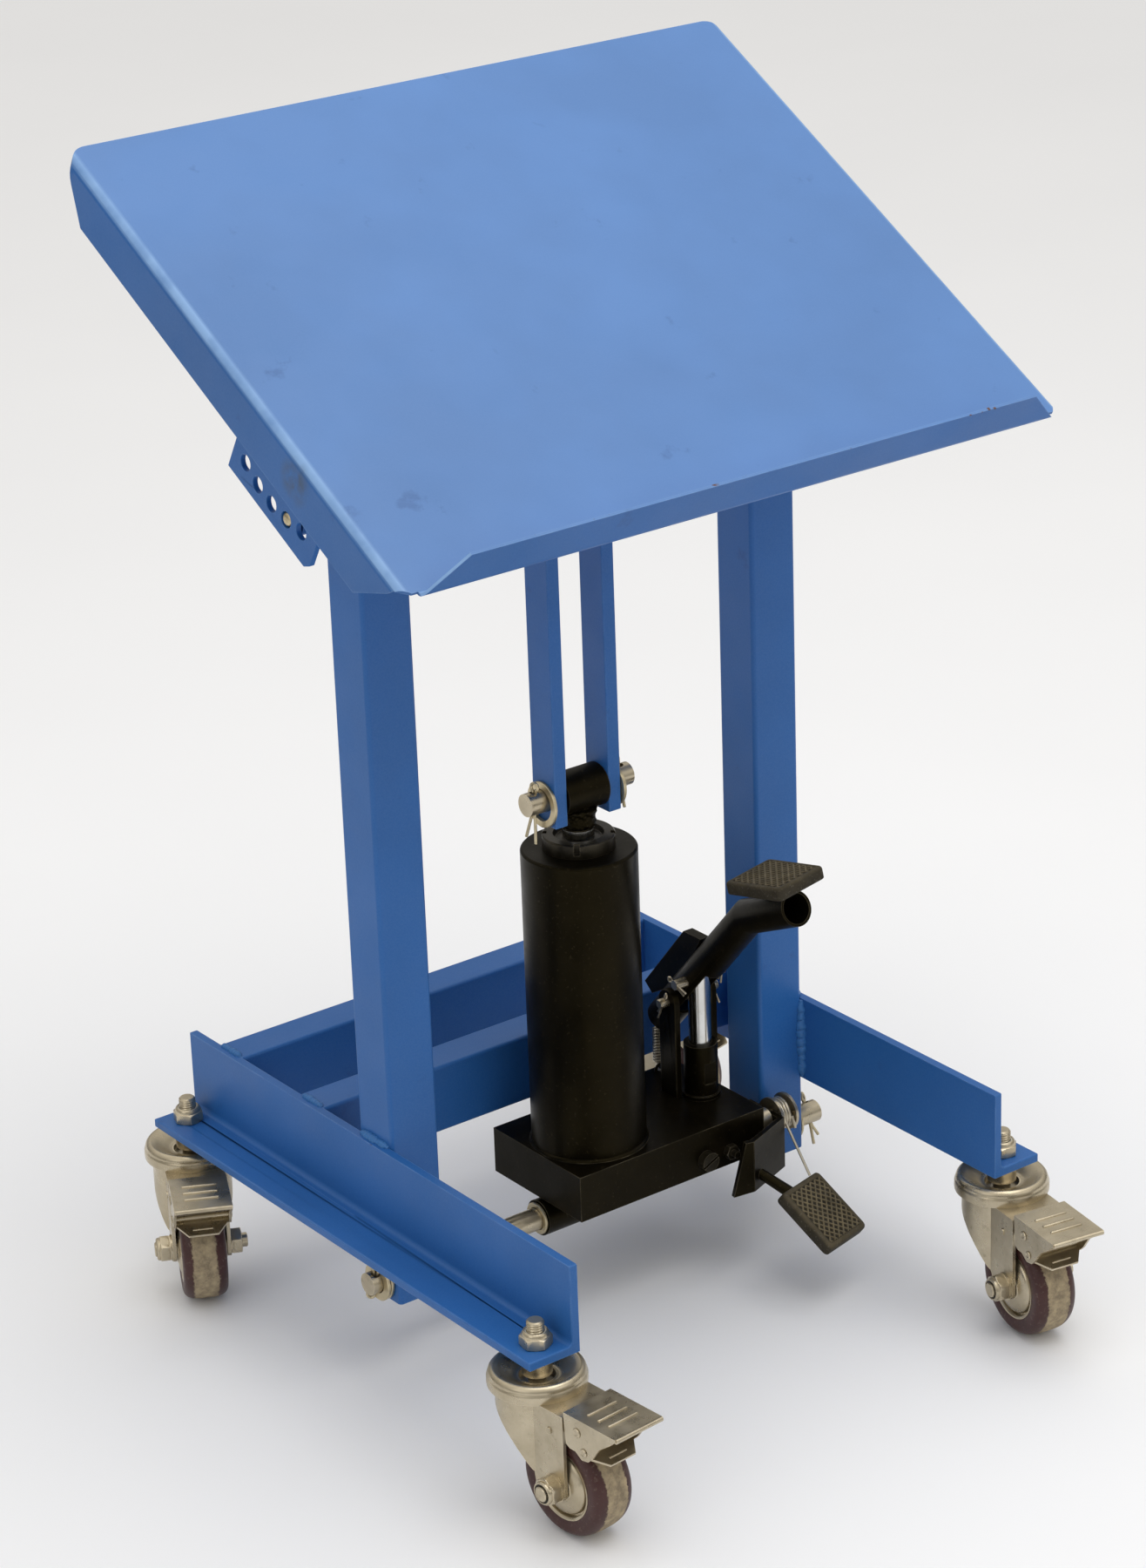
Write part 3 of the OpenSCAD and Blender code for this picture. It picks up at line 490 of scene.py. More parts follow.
def black_paint(name):
    """Thin black enamel with a brown cast, dust and pale rubbed edges."""
    n = Nodes(name)
    cloud = n.ramp(n.noise(30.0, 5.0, 0.6), 0.35, 0.70)
    color = n.mix(cloud, (0.0016, 0.0012, 0.0007), (0.0060, 0.0046, 0.0022))
    dust = n.math("MULTIPLY", n.ramp(n.noise(420.0, 3.0), 0.62, 0.72), 0.45)
    color = n.mix(dust, color, (0.040, 0.032, 0.017))
    edge = n.edges(1.0)
    rubbed = n.math("MULTIPLY", edge, n.ramp(n.noise(45.0, 4.0), 0.42, 0.62, 0.22, 0.85))
    color = n.mix(rubbed, color, (0.150, 0.128, 0.085))
    rough = n.ramp(n.noise(40.0, 4.0), 0.3, 0.7, 0.30, 0.46)
    normal = n.bump(n.noise(220.0, 3.0), 0.30, 0.12)
    n.shader.inputs["Specular Tint"].default_value = (1.0, 0.80, 0.36, 1.0)
    return n.finish(color, rough, normal=normal, specular=0.12)


def oiled_steel(name):
    """Dark blackened steel of the screws in the pump block."""
    n = Nodes(name)
    color = n.mix(n.ramp(n.noise(90.0, 4.0), 0.35, 0.65), (0.014, 0.011, 0.006),
                  (0.040, 0.033, 0.020))
    # Painted highlight: edges lightened evenly towards a warm grey.
    color = n.mix(n.math("MULTIPLY", n.edges(0.8), 0.75), color, (0.220, 0.190, 0.130))
    rough = n.ramp(n.noise(60.0, 3.0), 0.3, 0.7, 0.26, 0.42)
    return n.finish(color, rough, 0.6, n.bump(n.noise(240.0, 3.0), 0.20, 0.06), 0.4)


def plated(name, color, dark, rough=(0.28, 0.46), metal=0.9, grain=160.0):
    """Zinc plated steel with cloudy patches, faint grime and a painted highlight on its edges."""
    n = Nodes(name)
    cloud = n.ramp(n.noise(55.0, 5.0, 0.6), 0.30, 0.70)
    tint = n.mix(n.math("MULTIPLY", cloud, 0.55), color, dark)
    grime = n.math("MULTIPLY", n.ramp(n.noise(130.0, 5.0, 0.7), 0.58, 0.74), 0.40)
    tint = n.mix(grime, tint, [c * 0.45 for c in dark])
    # Painted highlight: edges lightened towards 1.6 times the plating colour.
    edge = n.math("MULTIPLY", n.edges(0.6), 0.70)
    tint = n.mix(edge, tint, [min(1.0, c * 1.6) for c in color])
    spread = n.ramp(n.noise(80.0, 4.0), 0.3, 0.7, *rough)
    normal = n.bump(n.noise(grain, 4.0, 0.6), 0.20, 0.08)
    return n.finish(tint, spread, metal, normal)


def rubber(name):
    """Grey-brown rubber, dusty on top of the ribs and darker between them."""
    n = Nodes(name)
    mark = n.add("ShaderNodeAttribute", attribute_name="mark").outputs["Fac"]
    base = n.mix(n.ramp(n.noise(70.0, 4.0), 0.3, 0.7), (0.020, 0.016, 0.009),
                 (0.036, 0.029, 0.016))
    raised = n.ramp(mark, 0.25, 0.95)
    worn = n.math("MULTIPLY", raised, n.ramp(n.noise(120.0, 4.0), 0.3, 0.7, 0.45, 1.0))
    color = n.mix(worn, base, (0.200, 0.160, 0.090))
    dust = n.math("MULTIPLY", n.ramp(n.noise(600.0, 3.0), 0.58, 0.72), 0.4)
    color = n.mix(dust, color, (0.150, 0.135, 0.105))
    rough = n.ramp(n.noise(90.0, 3.0), 0.3, 0.7, 0.62, 0.85)
    return n.finish(color, rough, normal=n.bump(n.noise(700.0, 3.0), 0.35, 0.12),
                    specular=0.3)


def tread(name):
    """Maroon tyre with a grey contact band that has a speckled edge."""
    n = Nodes(name)
    mark = n.add("ShaderNodeAttribute", attribute_name="mark").outputs["Fac"]
    side = n.mix(n.ramp(n.noise(60.0, 4.0), 0.3, 0.7), (0.042, 0.013, 0.012),
                 (0.062, 0.021, 0.018))
    side = n.mix(n.math("MULTIPLY", n.ramp(n.noise(300.0, 4.0, 0.7), 0.56, 0.70), 0.5),
                 side, (0.18, 0.13, 0.10))
    speckle = n.math("MULTIPLY", n.math("SUBTRACT", n.noise(420.0, 5.0, 0.75), 0.5), 1.1)
    patch = n.math("MULTIPLY", n.math("SUBTRACT", n.noise(45.0, 3.0), 0.5), 0.8)
    worn = n.ramp(n.math("ADD", mark, n.math("ADD", speckle, patch)), 0.42, 0.62)
    band = n.mix(n.ramp(n.noise(160.0, 5.0, 0.7), 0.35, 0.65), (0.43, 0.345, 0.215),
                 (0.22, 0.175, 0.115))
    color = n.mix(worn, side, band)
    rough = n.math("ADD", 0.42, n.math("MULTIPLY", worn, 0.40))
    return n.finish(color, rough, normal=n.bump(n.noise(420.0, 4.0, 0.7), 0.40, 0.15),
                    specular=0.4)


def nylon(name):
    n = Nodes(name)
    color = n.mix(n.ramp(n.noise(40.0, 3.0), 0.3, 0.7), (0.62, 0.60, 0.52),
                  (0.48, 0.46, 0.39))
    rough = n.ramp(n.noise(70.0, 3.0), 0.3, 0.7, 0.40, 0.60)
    return n.finish(color, rough, normal=n.bump(n.noise(300.0, 3.0), 0.2, 0.06))


def studio_floor(name):
    n = Nodes(name)
    color = n.mix(n.ramp(n.noise(1.5, 3.0), 0.3, 0.7), (0.86, 0.87, 0.895),
                  (0.88, 0.89, 0.915))
    return n.finish(color, 0.75, normal=n.bump(n.noise(60.0, 2.0), 0.05, 0.2), specular=0.2)


LOOKS = {
    "blue_paint": blue_paint("blue_paint", BLUE),
    "oiled_steel": oiled_steel("oiled_steel"),
    "weld_paint": blue_paint("weld_paint", (0.034, 0.160, 0.430), 0.35),
    "black_paint": black_paint("black_paint"),
    "zinc_plate": plated("zinc_plate", (0.56, 0.490, 0.360), (0.33, 0.275, 0.180),
                         (0.22, 0.40)),
    "yellow_zinc": plated("yellow_zinc", (0.64, 0.55, 0.37), (0.36, 0.29, 0.15)),
    "spring_steel": plated("spring_steel", (0.66, 0.60, 0.48), (0.38, 0.33, 0.24)),
    "chrome_rod": plated("chrome_rod", (0.74, 0.74, 0.72), (0.50, 0.50, 0.47),
                         (0.14, 0.26), 1.0, 90.0),
    "pedal_rubber": rubber("pedal_rubber"),
    "tread": tread("tread"),
    "nylon": nylon("nylon"),
}


# ------------------------------------------------------------ CAD nodes

# Width of the rounded edges, in mm, and the CAD nodes that have it.
BEVELS = {
    0.9: ("left_rail", "right_rail"),
    0.8: ("pump_block", "lift_bars", "clevis_pin", "axle"),
    0.6: ("tilt_arms", "fulcrum_lugs", "ram_head"),
    0.5: ("hole_brackets", "jacket", "gland_nut", "plunger_housing", "release_pedal"),
    0.4: ("table_ribs", "pump_lever", "guide_bushes",
          *(name + part for name in CASTERS for part in ("_fork", "_brake"))),
    0.35: ("table_top",),
    0.3: ("rear_cross_tube", "middle_cross_tube", "left_upright", "right_upright",
          "lift_tubes", "lift_beam", "fulcrum_pin", "hinge_bolts", "block_screws"),
}


def soften(obj, width):
    """Rounds the sharp edges of a CAD node with modifiers only."""
    weld = obj.modifiers.new("weld", "WELD")
    weld.merge_threshold = 1e-6
    bevel = obj.modifiers.new("bevel", "BEVEL")
    bevel.width = width * MM
    bevel.segments = 2
    bevel.limit_method = "ANGLE"
    bevel.angle_limit = math.radians(35)
    bevel.use_clamp_overlap = True
    bevel.harden_normals = False
    weighted = obj.modifiers.new("normals", "WEIGHTED_NORMAL")
    weighted.mode = "FACE_AREA_WITH_ANGLE"
    weighted.keep_sharp = True


def dress_cad_nodes():
    """Gives every CAD node its material, and the nodes listed in BEVELS their rounded edges."""
    slots = {part["node"]: part["material_slot"] for part in frame["record"]["subparts"]}
    hinge = joint_point("table_tilt")
    # Centre of the painted shade patch on the left face of the table's flange.
    shade_patch = Vector((box_mm("table_top")[0].x, hinge.y - 58, hinge.z - 37))
    own_looks = {
        "table_top": table_paint("table_paint", table_lip_height(), shade_patch),
        "block_screws": LOOKS["oiled_steel"],
        "gland_nut": LOOKS["oiled_steel"],
    }
    for name, obj in NODES.items():
        look = own_looks.get(name, LOOKS[slots[name]])
        obj.data.materials.clear()
        obj.data.materials.append(look)
    for width, names in BEVELS.items():
        for name in names:
            soften(NODES[name], width)


def table_lip_height():
    """Highest point of the table top, square to its panel, in mm."""
    hinge = Vector(JOINTS["table_tilt"]["pos_m"])
    return max((v.co - hinge).dot(PANEL_UP) for v in NODES["table_top"].data.vertices) / MM


# ------------------------------------------------------------ casters

def smooth_profile(points, steps=4):
    """Rounds a profile with a curve through all of its points."""
    points = [Vector(p) for p in points]
    padded = [points[0]] + points + [points[-1]]
    out = []
    for a, b, c, d in zip(padded, padded[1:], padded[2:], padded[3:]):
        for i in range(steps):
            t = i / steps
            out.append(0.5 * ((2 * b) + (c - a) * t + (2 * a - 5 * b + 4 * c - d) * t ** 2
                              + (3 * b - a - 3 * c + d) * t ** 3))
    return [tuple(p) for p in out + [points[-1]]]


def mirrored(profile):
    """A half profile given from x = 0 outwards, completed on the other side."""
    return [(r, -x) for r, x in reversed(profile)] + list(profile)


def wheel_place(name):
    return at(*middle(name + "_tyre")) @ caster_frame(name).to_3x3().to_4x4() @ turn_y(90)


def caster_tyre(name):
    """Rounded tyre, marked where its tread touches the ground."""
    half = [(37.5, 0.6), (37.45, 4), (37.2, 7.5), (36.7, 10.2), (35.7, 12.6), (34.2, 14.4),
            (32.3, 15.4), (30, 15.7), (27.4, 15.4), (25.0, 14.7)]
    profile = mirrored(smooth_profile(half))
    marks = []
    for radius, x in profile:
        level = 0.5 + (8.6 - abs(x)) / 5 if radius > 34 else 0.0
        marks.append(max(0.0, min(1.0, level)))
    shape = Shape()
    shape.lathe(profile, wheel_place(name), 128, closed=True, marks=marks)
    tyre = shape.make(name + "_tyre_worn", LOOKS["tread"], name + "_wheel")
    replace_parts(tyre, name + "_tyre")


def caster_hub(name):
    """Pressed steel hub: domed cover, sunk ring groove and outer flange."""
    dome = smooth_profile([(5.1, 17.5), (10.4, 17.5), (11.4, 17.0), (14.5, 16.6),
                           (18.0, 15.6), (20.4, 14.2), (21.2, 12.4)], 3)
    flange = [(21.5, 11.2), (22.4, 11.2), (22.7, 13.4), (23.0, 14.3), (23.8, 14.9),
              (24.9, 15.0), (25.1, 14.0)]
    side = dome + flange
    loop = side + [(r, -x) for r, x in reversed(side)]
    shape = Shape()
    shape.lathe(loop, wheel_place(name), 72, closed=True)
    hub = shape.make(name + "_hub_cover", LOOKS["zinc_plate"], name + "_wheel", 30)
    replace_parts(hub, name + "_hub")


def caster_race(name):
    """Rolled rim, shoulder and inner dish over the fork's ball race."""
    top = box_mm(name + "_fork")[1].z
    outside = [(31.2, -11.8), (32.5, -11.3), (32.65, -10), (32.6, -6.2), (32.3, -5.2),
               (31.95, -4.6), (31.65, -3.8)]
    dish = smooth_profile([(31.7, -3.3), (31.2, -1.9), (30.0, -0.5), (28.4, 0.2),
                           (26.5, -0.3), (24.2, -1.3), (20, -3.9), (16.5, -6.0),
                           (14.5, -6.8), (12.3, -6.85)], 4)
    shape = Shape()
    shape.lathe([(r, top + z) for r, z in outside + dish], caster_frame(name), 96, closed=True)
    shape.make(name + "_race_rim", LOOKS["zinc_plate"], name + "_swivel", 32)


def rounded_rib(shape, length, width, height, place):
    """A raised pressed rib along X with round ends."""
    rings = []
    for level in (0.0, 0.35, 0.7, 0.9, 1.0):
        shrink = width / 2 * (1 - math.sqrt(max(0.0, 1 - level ** 2))) * 0.9
        r = width / 2 - shrink
        ring = []
        for k in range(24):
            angle = 2 * math.pi * k / 24
            end = (length - width) / 2 * (1 if math.cos(angle) >= 0 else -1)
            ring.append((end + r * math.cos(angle), r * math.sin(angle), height * level))
        rings.append(ring)
    shape.rings(rings, place)


def crimped_rivet(shape, radius, place):
    """A turned-over rivet end: low dome with a dimple."""
    profile = [(radius * 1.35, 0), (radius * 1.35, 0.3), (radius * 1.15, 0.8),
               (radius * 0.8, 0.95), (radius * 0.55, 0.6), (radius * 0.2, 0.45), (0.02, 0.45)]
    shape.lathe(profile, place, 24)


def brake_details(name):
    """Ribs, rolled front edge and rivet ends of one brake pedal."""
    hinge = joint_point(name + "_brake_turn")
    local = caster_frame(name)
    local.translation.z = hinge.z
    across = 40.4  # outside width of the pedal's cheeks
    plate_top = 9.8  # height of its plate above the hinge
    hinge_y = -(Vector((hinge.x, hinge.y)) - Vector(local.translation[:2])).length
    local = local @ at(0, hinge_y, 0)
    shape = Shape()
    for y in (-1.8, -11.4, -21.0):
        rounded_rib(shape, 25, 2.4, 1.0, local @ at(0, y, plate_top - 0.05))
    edge = across / 2 - 0.6
    nose = [(x, -35.6, plate_top - 1.3) for x in np.linspace(-edge, edge, 9)]
    shape.sweep(nose, 1.65, local, 16)
    rounded_rib(shape, 15, 2.0, 0.8, local @ at(0, -3, -14.5) @ turn_x(18) @ at(0, -12.5, 1.6))
    for side in (-1, 1):
        for y, z, r in ((0, 0, 2.5), (-6, -12, 2.2)):
            face = at(side * (across / 2 - 0.05), y, z) @ turn_y(90 * side)
            crimped_rivet(shape, r, local @ face @ at(0, 0, 0.25))
    shape.make(name + "_brake_pressings", LOOKS["zinc_plate"], name + "_pedal", 35)


def wheel_bolt_ends(name):
    """Locking nut on one end of a wheel's bolt and its head on the other."""
    local = caster_frame(name).inverted()
    half = max(abs((local @ (v.co / MM)).x) for v in NODES[name + "_fork"].data.vertices)
    across, height = 17.4, 6.7  # size of the nut and of the head
    bolt = Shape()
    seat = Shape()
    nut_end = wheel_place(name) @ turn_x(180) @ at(0, 0, half)
    bolt.hexagon_nut(across, height, nut_end @ at(0, 0, -10.1))
    collar = smooth_profile([(8.2, -4.2), (8.1, -2.6), (7.8, -1.6), (7.2, -1.0), (6.6, -1.0)], 3)
    bolt.lathe(collar + [(6.5, -2.6), (6.5, -4.2)], nut_end, 40, closed=True)
    seat.lathe([(4.0, -1.4), (6.6, -1.4), (6.6, -3.0), (4.0, -3.0)], nut_end, 32, closed=True)
    head_end = wheel_place(name) @ at(0, 0, half)
    bolt.hexagon_nut(across, height, head_end @ at(0, 0, -10.6))
    for end in (nut_end, head_end):
        bolt.lathe([(0.02, -5), (5.1, -5), (5.1, -0.3), (4.4, 0.3), (0.02, 0.3)], end, 28)
    bolt.make(name + "_wheel_bolt", LOOKS["zinc_plate"], name + "_swivel", 30)
    seat.make(name + "_wheel_bolt_seat", LOOKS["oiled_steel"], name + "_swivel", 30)


def caster_studs():
    """Threaded studs and locking nuts that hold the casters under the rails."""
    low, high = (corner.z for corner in box_mm("caster_bolts"))
    seat = box_mm("caster_nuts")[0].z
    stud = Shape()
    nut = Shape()
    ring = Shape()
    for n, name in enumerate(CASTERS):
        centre = joint_point(name + "_swivel_turn")
        place = at(centre.x, centre.y, 0) @ turn_z(24 + 23 * n)
        stud.lathe([(0.02, low), (9.5, low), (11, low + 1.2), (11, low + 4.8), (9.8, low + 5.8),
                    (6, low + 5.8), (6, low + 15), (10, low + 15), (10, seat - 6.05),
                    (6, seat - 6.05), (5.9, seat), (0.02, seat)], place, 40)
        place = place @ at(0, 0, seat)
        stud.thread(6.0, high - seat, place)
        nut.hexagon_nut(19, 7.8, place)
        collar = smooth_profile([(9.1, 7.2), (8.9, 8.9), (8.3, 10.2), (7.5, 10.9), (7.1, 10.8)], 3)
        nut.lathe([(6.2, 7.2)] + collar + [(6.9, 9.6), (6.2, 9.6)], place, 40, closed=True)
        ring.lathe([(6.05, 9.0), (7.0, 9.0), (7.0, 10.2), (6.05, 10.3)], place, 32, closed=True)
    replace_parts(stud.make("caster_threaded_studs", LOOKS["zinc_plate"], "base", 30),
                "caster_bolts")
    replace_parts(nut.make("caster_locking_nuts", LOOKS["zinc_plate"], "base", 30),
                "caster_nuts")
    ring.make("nut_nylon_rings", LOOKS["nylon"], "base")


def dress_casters():
    caster_studs()
    for name in CASTERS:
        caster_tyre(name)
        caster_hub(name)
        caster_race(name)
        wheel_bolt_ends(name)
        brake_details(name)


# ------------------------------------------------------------ pins and springs

def split_pin_path(pin_r, leg, spread, eye=3.0, gap=1.15):
    """Wire path of a split pin: up one leg, round the eye and down the other."""
    left, right = spread
    centre = pin_r + eye + 0.8
    tip_a = (-gap - leg * math.sin(math.radians(left)), 0,
             -pin_r - 1 - leg * math.cos(math.radians(left)))
    tip_b = (gap + leg * 0.85 * math.sin(math.radians(right)), 0,
             -pin_r - 1 - leg * 0.85 * math.cos(math.radians(right)))
    loop = []
    for i in range(13):
        angle = math.radians(-125 - 290 * i / 12)
        loop.append((eye * 0.85 * math.cos(angle), 0, centre + eye * math.sin(angle)))
    down = bent([tip_a, (-gap, 0, -pin_r - 1), (-gap, 0, pin_r)], 2)
    up = bent([(gap, 0, pin_r), (gap, 0, -pin_r - 1), tip_b], 2)
    return down + loop + up


def split_pin(shape, place, pin_r, leg, spread, wire=1.1, eye=3.0):
    path = split_pin_path(pin_r, leg, spread, eye, wire * 1.05)
    shape.sweep(path, wire, place, 10)


def loose_washer(shape, place, outer, hole, thick):
    profile = [(hole, 0), (outer - 0.4, 0), (outer, 0.4), (outer, thick - 0.5),
               (outer - 0.6, thick), (hole + 0.3, thick)]
    shape.lathe(profile, place, 48, closed=True)


def clevis_fasteners():
    """Loose washers and split pins at both ends of the clevis pin."""
    low, high = box_mm("clevis_pin")
    centre = (low + high) / 2
    bar_face = box_mm("lift_bars")[1].x
    shape = Shape()
    for side, lean, spread in ((-1, 5, (4, 12)), (1, -4, (32, 30))):
        face = side * (bar_face + 0.5)
        place = at(face, centre.y, centre.z - 3) @ turn_y(90 * side) @ turn_y(lean * 0.5)
        loose_washer(shape, place, 16, 11.0, 2.4)
        pin = at(side * (high.x - 7), centre.y, centre.z) @ turn_x(-6 * side)
        split_pin(shape, pin @ turn_z(90 - 25 * side), 8, 21 if side < 0 else 13, spread)
    piece = shape.make("clevis_washers_and_pins", LOOKS["yellow_zinc"], "carriage",
                       35)
    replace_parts(piece, "clevis_retainers")


def axle_fasteners():
    low, high = box_mm("axle")
    centre = (low + high) / 2
    upright_face = box_mm("right_upright")[1].x
    block_low, block_high = box_mm("pump_block")
    shape = Shape()
    for side, end, turn, spread in ((-1, low.x + 5, 200, (24, 20)), (1, high.x - 7, -25, (18, 40))):
        for n in (0, 1):
            place = at(side * (upright_face + 0.3 + 3 * n), centre.y, centre.z - 0.3 * n)
            loose_washer(shape, place @ turn_y(90 * side), 14, 8.1, 2.4)
        pin = at(end, centre.y, centre.z) @ turn_x(turn) @ turn_z(35)
        split_pin(shape, pin, 8, 14, spread)
    for x, side in ((block_low.x - 0.3, -1), (block_high.x + 0.3, 1)):
        loose_washer(shape, at(x, centre.y, centre.z) @ turn_y(90 * side), 11.5, 8.1, 1.9)
    piece = shape.make("axle_washers_and_pins", LOOKS["yellow_zinc"], "base", 35)
    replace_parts(piece, "axle_retainers")


def lever_pins():
    """Fulcrum pin with its clips, and the clips of the plunger's pin."""
    low, high = box_mm("fulcrum_pin")
    centre = joint_point("pump_lever_turn")
    half = (high.x - low.x) / 2
    pin = Shape()
    r = 3.5
    pin.lathe([(0.02, -half), (r - 0.7, -half), (r, -half + 0.8), (r, half - 0.8),
               (r - 0.7, half), (0.02, half)], at(*centre) @ turn_y(90), 28)
    for side, turn in ((-1, 28), (1, -35)):
        place = at(centre.x + side * (half - 4), centre.y, centre.z) @ turn_x(turn) @ turn_z(60)
        split_pin(pin, place, r, 9, (8, 10), 0.85, 2.2)
    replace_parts(pin.make("fulcrum_pin_with_clips", LOOKS["zinc_plate"], "base", 35),
                "fulcrum_pin")
    clips = Shape()
    low, high = box_mm("plunger_pin")
    centre = (low + high) / 2
    for side, turn in ((-1, -70), (1, 15)):
        place = at(centre.x + side * ((high.x - low.x) / 2 - 1.2), centre.y, centre.z)
        split_pin(clips, place @ turn_x(turn) @ turn_z(90), r, 7, (6, 8), 0.75, 2.0)
    clips.make("plunger_pin_clips", LOOKS["zinc_plate"], "plunger", 35)


def return_spring():
    """Wound extension spring from the pump block to the lever's rear end."""
    low, high = box_mm("return_spring")
    centre = (low + high) / 2
    coil_r, wire = 3.0, 1.0
    start_z, end_z = low.z + 7, high.z - 4
    turns = int((end_z - start_z) / (2 * wire + 0.25))
    coil = [p + Vector((0, 0, start_z)) for p in helix(coil_r, 2 * wire + 0.25, turns, 16)]
    hook_low = bent([(0, -3.2, low.z + 1), (0, 0, low.z - 0.5), (0, 3, low.z + 2),
                     (0, 0.5, start_z - 2.5), (coil_r, -0.5, start_z - 0.5)], 3)
    hook_high = bent([(coil_r, 0.5, coil[-1].z + 0.6), (0, 0.5, coil[-1].z + 2.5),
                      (0, 3, coil[-1].z + 5), (0, 0, coil[-1].z + 8.5),
                      (0, -3.2, coil[-1].z + 6.5)], 3)
    shape = Shape()
    shape.sweep(hook_low + coil + hook_high, wire, at(centre.x, centre.y, 0), 8)
    spring = shape.make("return_spring_coil", LOOKS["spring_steel"], None, 60)
    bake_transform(spring)
    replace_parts(spring, "return_spring")
    eye = Shape()
    eye.sweep([(centre.x + x, centre.y - 1.2, low.z + z) for x, z in
               ((-3.4, 0), (-3.2, 2.2), (-2, 4.0), (0, 4.7), (2, 4.0), (3.2, 2.2), (3.4, 0))],
              1.2, sides=10)
    eye.make("return_spring_eye", LOOKS["black_paint"], "base")


def torsion_spring():
    """Wound spring on the release stud, with a long leg to the pedal."""
    low, high = box_mm("torsion_spring")
    stud = joint_point("release_turn")
    coil_r, wire = 10.5, 1.25
    first_x = low.x + wire
    turns, steps = 3, 28
    pitch = (high.x - first_x - wire) / turns
    coil = []
    for i in range(turns * steps + 1):
        angle = math.pi + 2 * math.pi * i / steps
        coil.append((first_x + pitch * i / steps, stud.y + coil_r * math.cos(angle),
                     stud.z - coil_r * math.sin(angle)))
    leg_end = Vector((first_x, low.y + 1.2, low.z + 1.2))
    leg = [leg_end.lerp(Vector(coil[0]), t) for t in (0, 0.25, 0.5, 0.75, 0.93)]
    tail = [(coil[-1][0], coil[-1][1] - 1.5, coil[-1][2] - 4),
            (coil[-1][0] + 0.2, coil[-1][1] - 2.5, coil[-1][2] - 8)]
    path = leg + coil + tail

    def radius(t):
        return wire if t * len(path) > len(leg) else wire * 0.8

    shape = Shape()
    shape.sweep(path, radius, sides=10)
    spring = shape.make("torsion_spring_coil", LOOKS["spring_steel"], "release", 60)
    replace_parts(spring, "torsion_spring")


# ------------------------------------------------------------ rubber pads

def rounded_loop(width, length, radius, z, per_corner=8):
    points = []
    radius = max(radius, 0.2)
    for k, (sx, sy) in enumerate(((1, 1), (-1, 1), (-1, -1), (1, -1))):
        for i in range(per_corner):
            angle = math.pi / 2 * (k + i / (per_corner - 1))
            points.append((sx * (width / 2 - radius) + radius * math.cos(angle),
                           sy * (length / 2 - radius) + radius * math.sin(angle), z))
    return points


def hatching(width, length, top, pitch=5.6, rib=0.95, grain=0.34):
    """A sheet of crossed ribs.  Gives its points, faces and how raised each point is."""
    nx, ny = int(width / grain), int(length / grain)
    points, marks = [], []
    for j in range(ny + 1):
        for i in range(nx + 1):
            x = -width / 2 + width * i / nx
            y = -length / 2 + length * j / ny
            near = min(abs((x + y + 1.4) % pitch - pitch / 2), abs((x - y) % pitch - pitch / 2))
            height = 1 - min(1.0, max(0.0, (near / math.sqrt(2) - rib * 0.45) / (rib * 0.55)))
            points.append((x, y, top - 1.05 + 1.1 * height))
            marks.append(height)
    corners = [j * (nx + 1) + i for j in range(ny) for i in range(nx)]
    faces = [[a, a + 1, a + nx + 2, a + nx + 1] for a in corners]
    return points, faces, marks


def hatched_pad(node, body):
    """Rubber foot pad with crossed ribs inside a plain rounded border."""
    place, (width, length, thick) = slab_frame(node)
    shape = Shape()
    loops = []
    for inset, z in ((4, 4.0), (4, 0.3), (3.6, 0), (0.6, 0), (0.1, 0.5), (0, 1.5), (0, thick - 2.2),
                     (0.25, thick - 1.1), (0.9, thick - 0.35), (1.9, thick), (3.4, thick + 0.05),
                     (3.9, thick - 0.15), (4.3, thick - 0.8)):
        loops.append(rounded_loop(width - 2 * inset, length - 2 * inset, 3.4 - inset * 0.5, z))
    count = len(loops[0])
    levels = [0.25] * 6 + [0.3, 0.4, 0.5, 0.55, 0.55, 0.5, 0.1]
    shape.rings(loops, place, caps=(True, True), marks=[m for m in levels for _ in range(count)])
    points, faces, marks = hatching(width - 8.2, length - 8.2, thick)
    shape.add(points, faces, place, marks)
    pad = shape.make(node + "_hatched", LOOKS["pedal_rubber"], body, 50)
    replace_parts(pad, node)


# ------------------------------------------------------------ welds and small fittings

def frame_weld_beads():
    """Rippled beads where the uprights and cross tubes meet the rails."""
    low, high = box_mm("right_rail")
    half_upright = box_mm("right_upright")[1].y - UPRIGHT_Y
    shape = Shape()
    seed = 0
    for side in (-1, 1):
        for face in (-1, 1):
            seed += 1
            y = UPRIGHT_Y + face * (half_upright + 0.3)
            path = [(side * (low.x - 0.5 - 0.5 * math.sin(z * 0.9)), y, z)
                    for z in np.linspace(low.z + 2, high.z - 1, 60)]
            shape.sweep(path, bead_radius(3.9, seed), sides=12)
        seed += 1
        path = [(side * (low.x + 0.6), UPRIGHT_Y + y, high.z + 0.2)
                for y in np.linspace(-16, 16, 40)]
        shape.sweep(path, bead_radius(3.4, seed), sides=12)
        for node in ("middle_cross_tube", "rear_cross_tube"):
            seed += 1
            tube_low, tube_high = box_mm(node)
            path = [(side * (low.x - 0.4), y, high.z - 0.4)
                    for y in np.linspace(tube_low.y + 3, tube_high.y - 3, 34)]
            shape.sweep(path, bead_radius(2.6, seed), sides=12)
    piece = shape.make("frame_weld_beads", LOOKS["weld_paint"], "base", 60)
    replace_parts(piece, "frame_welds")


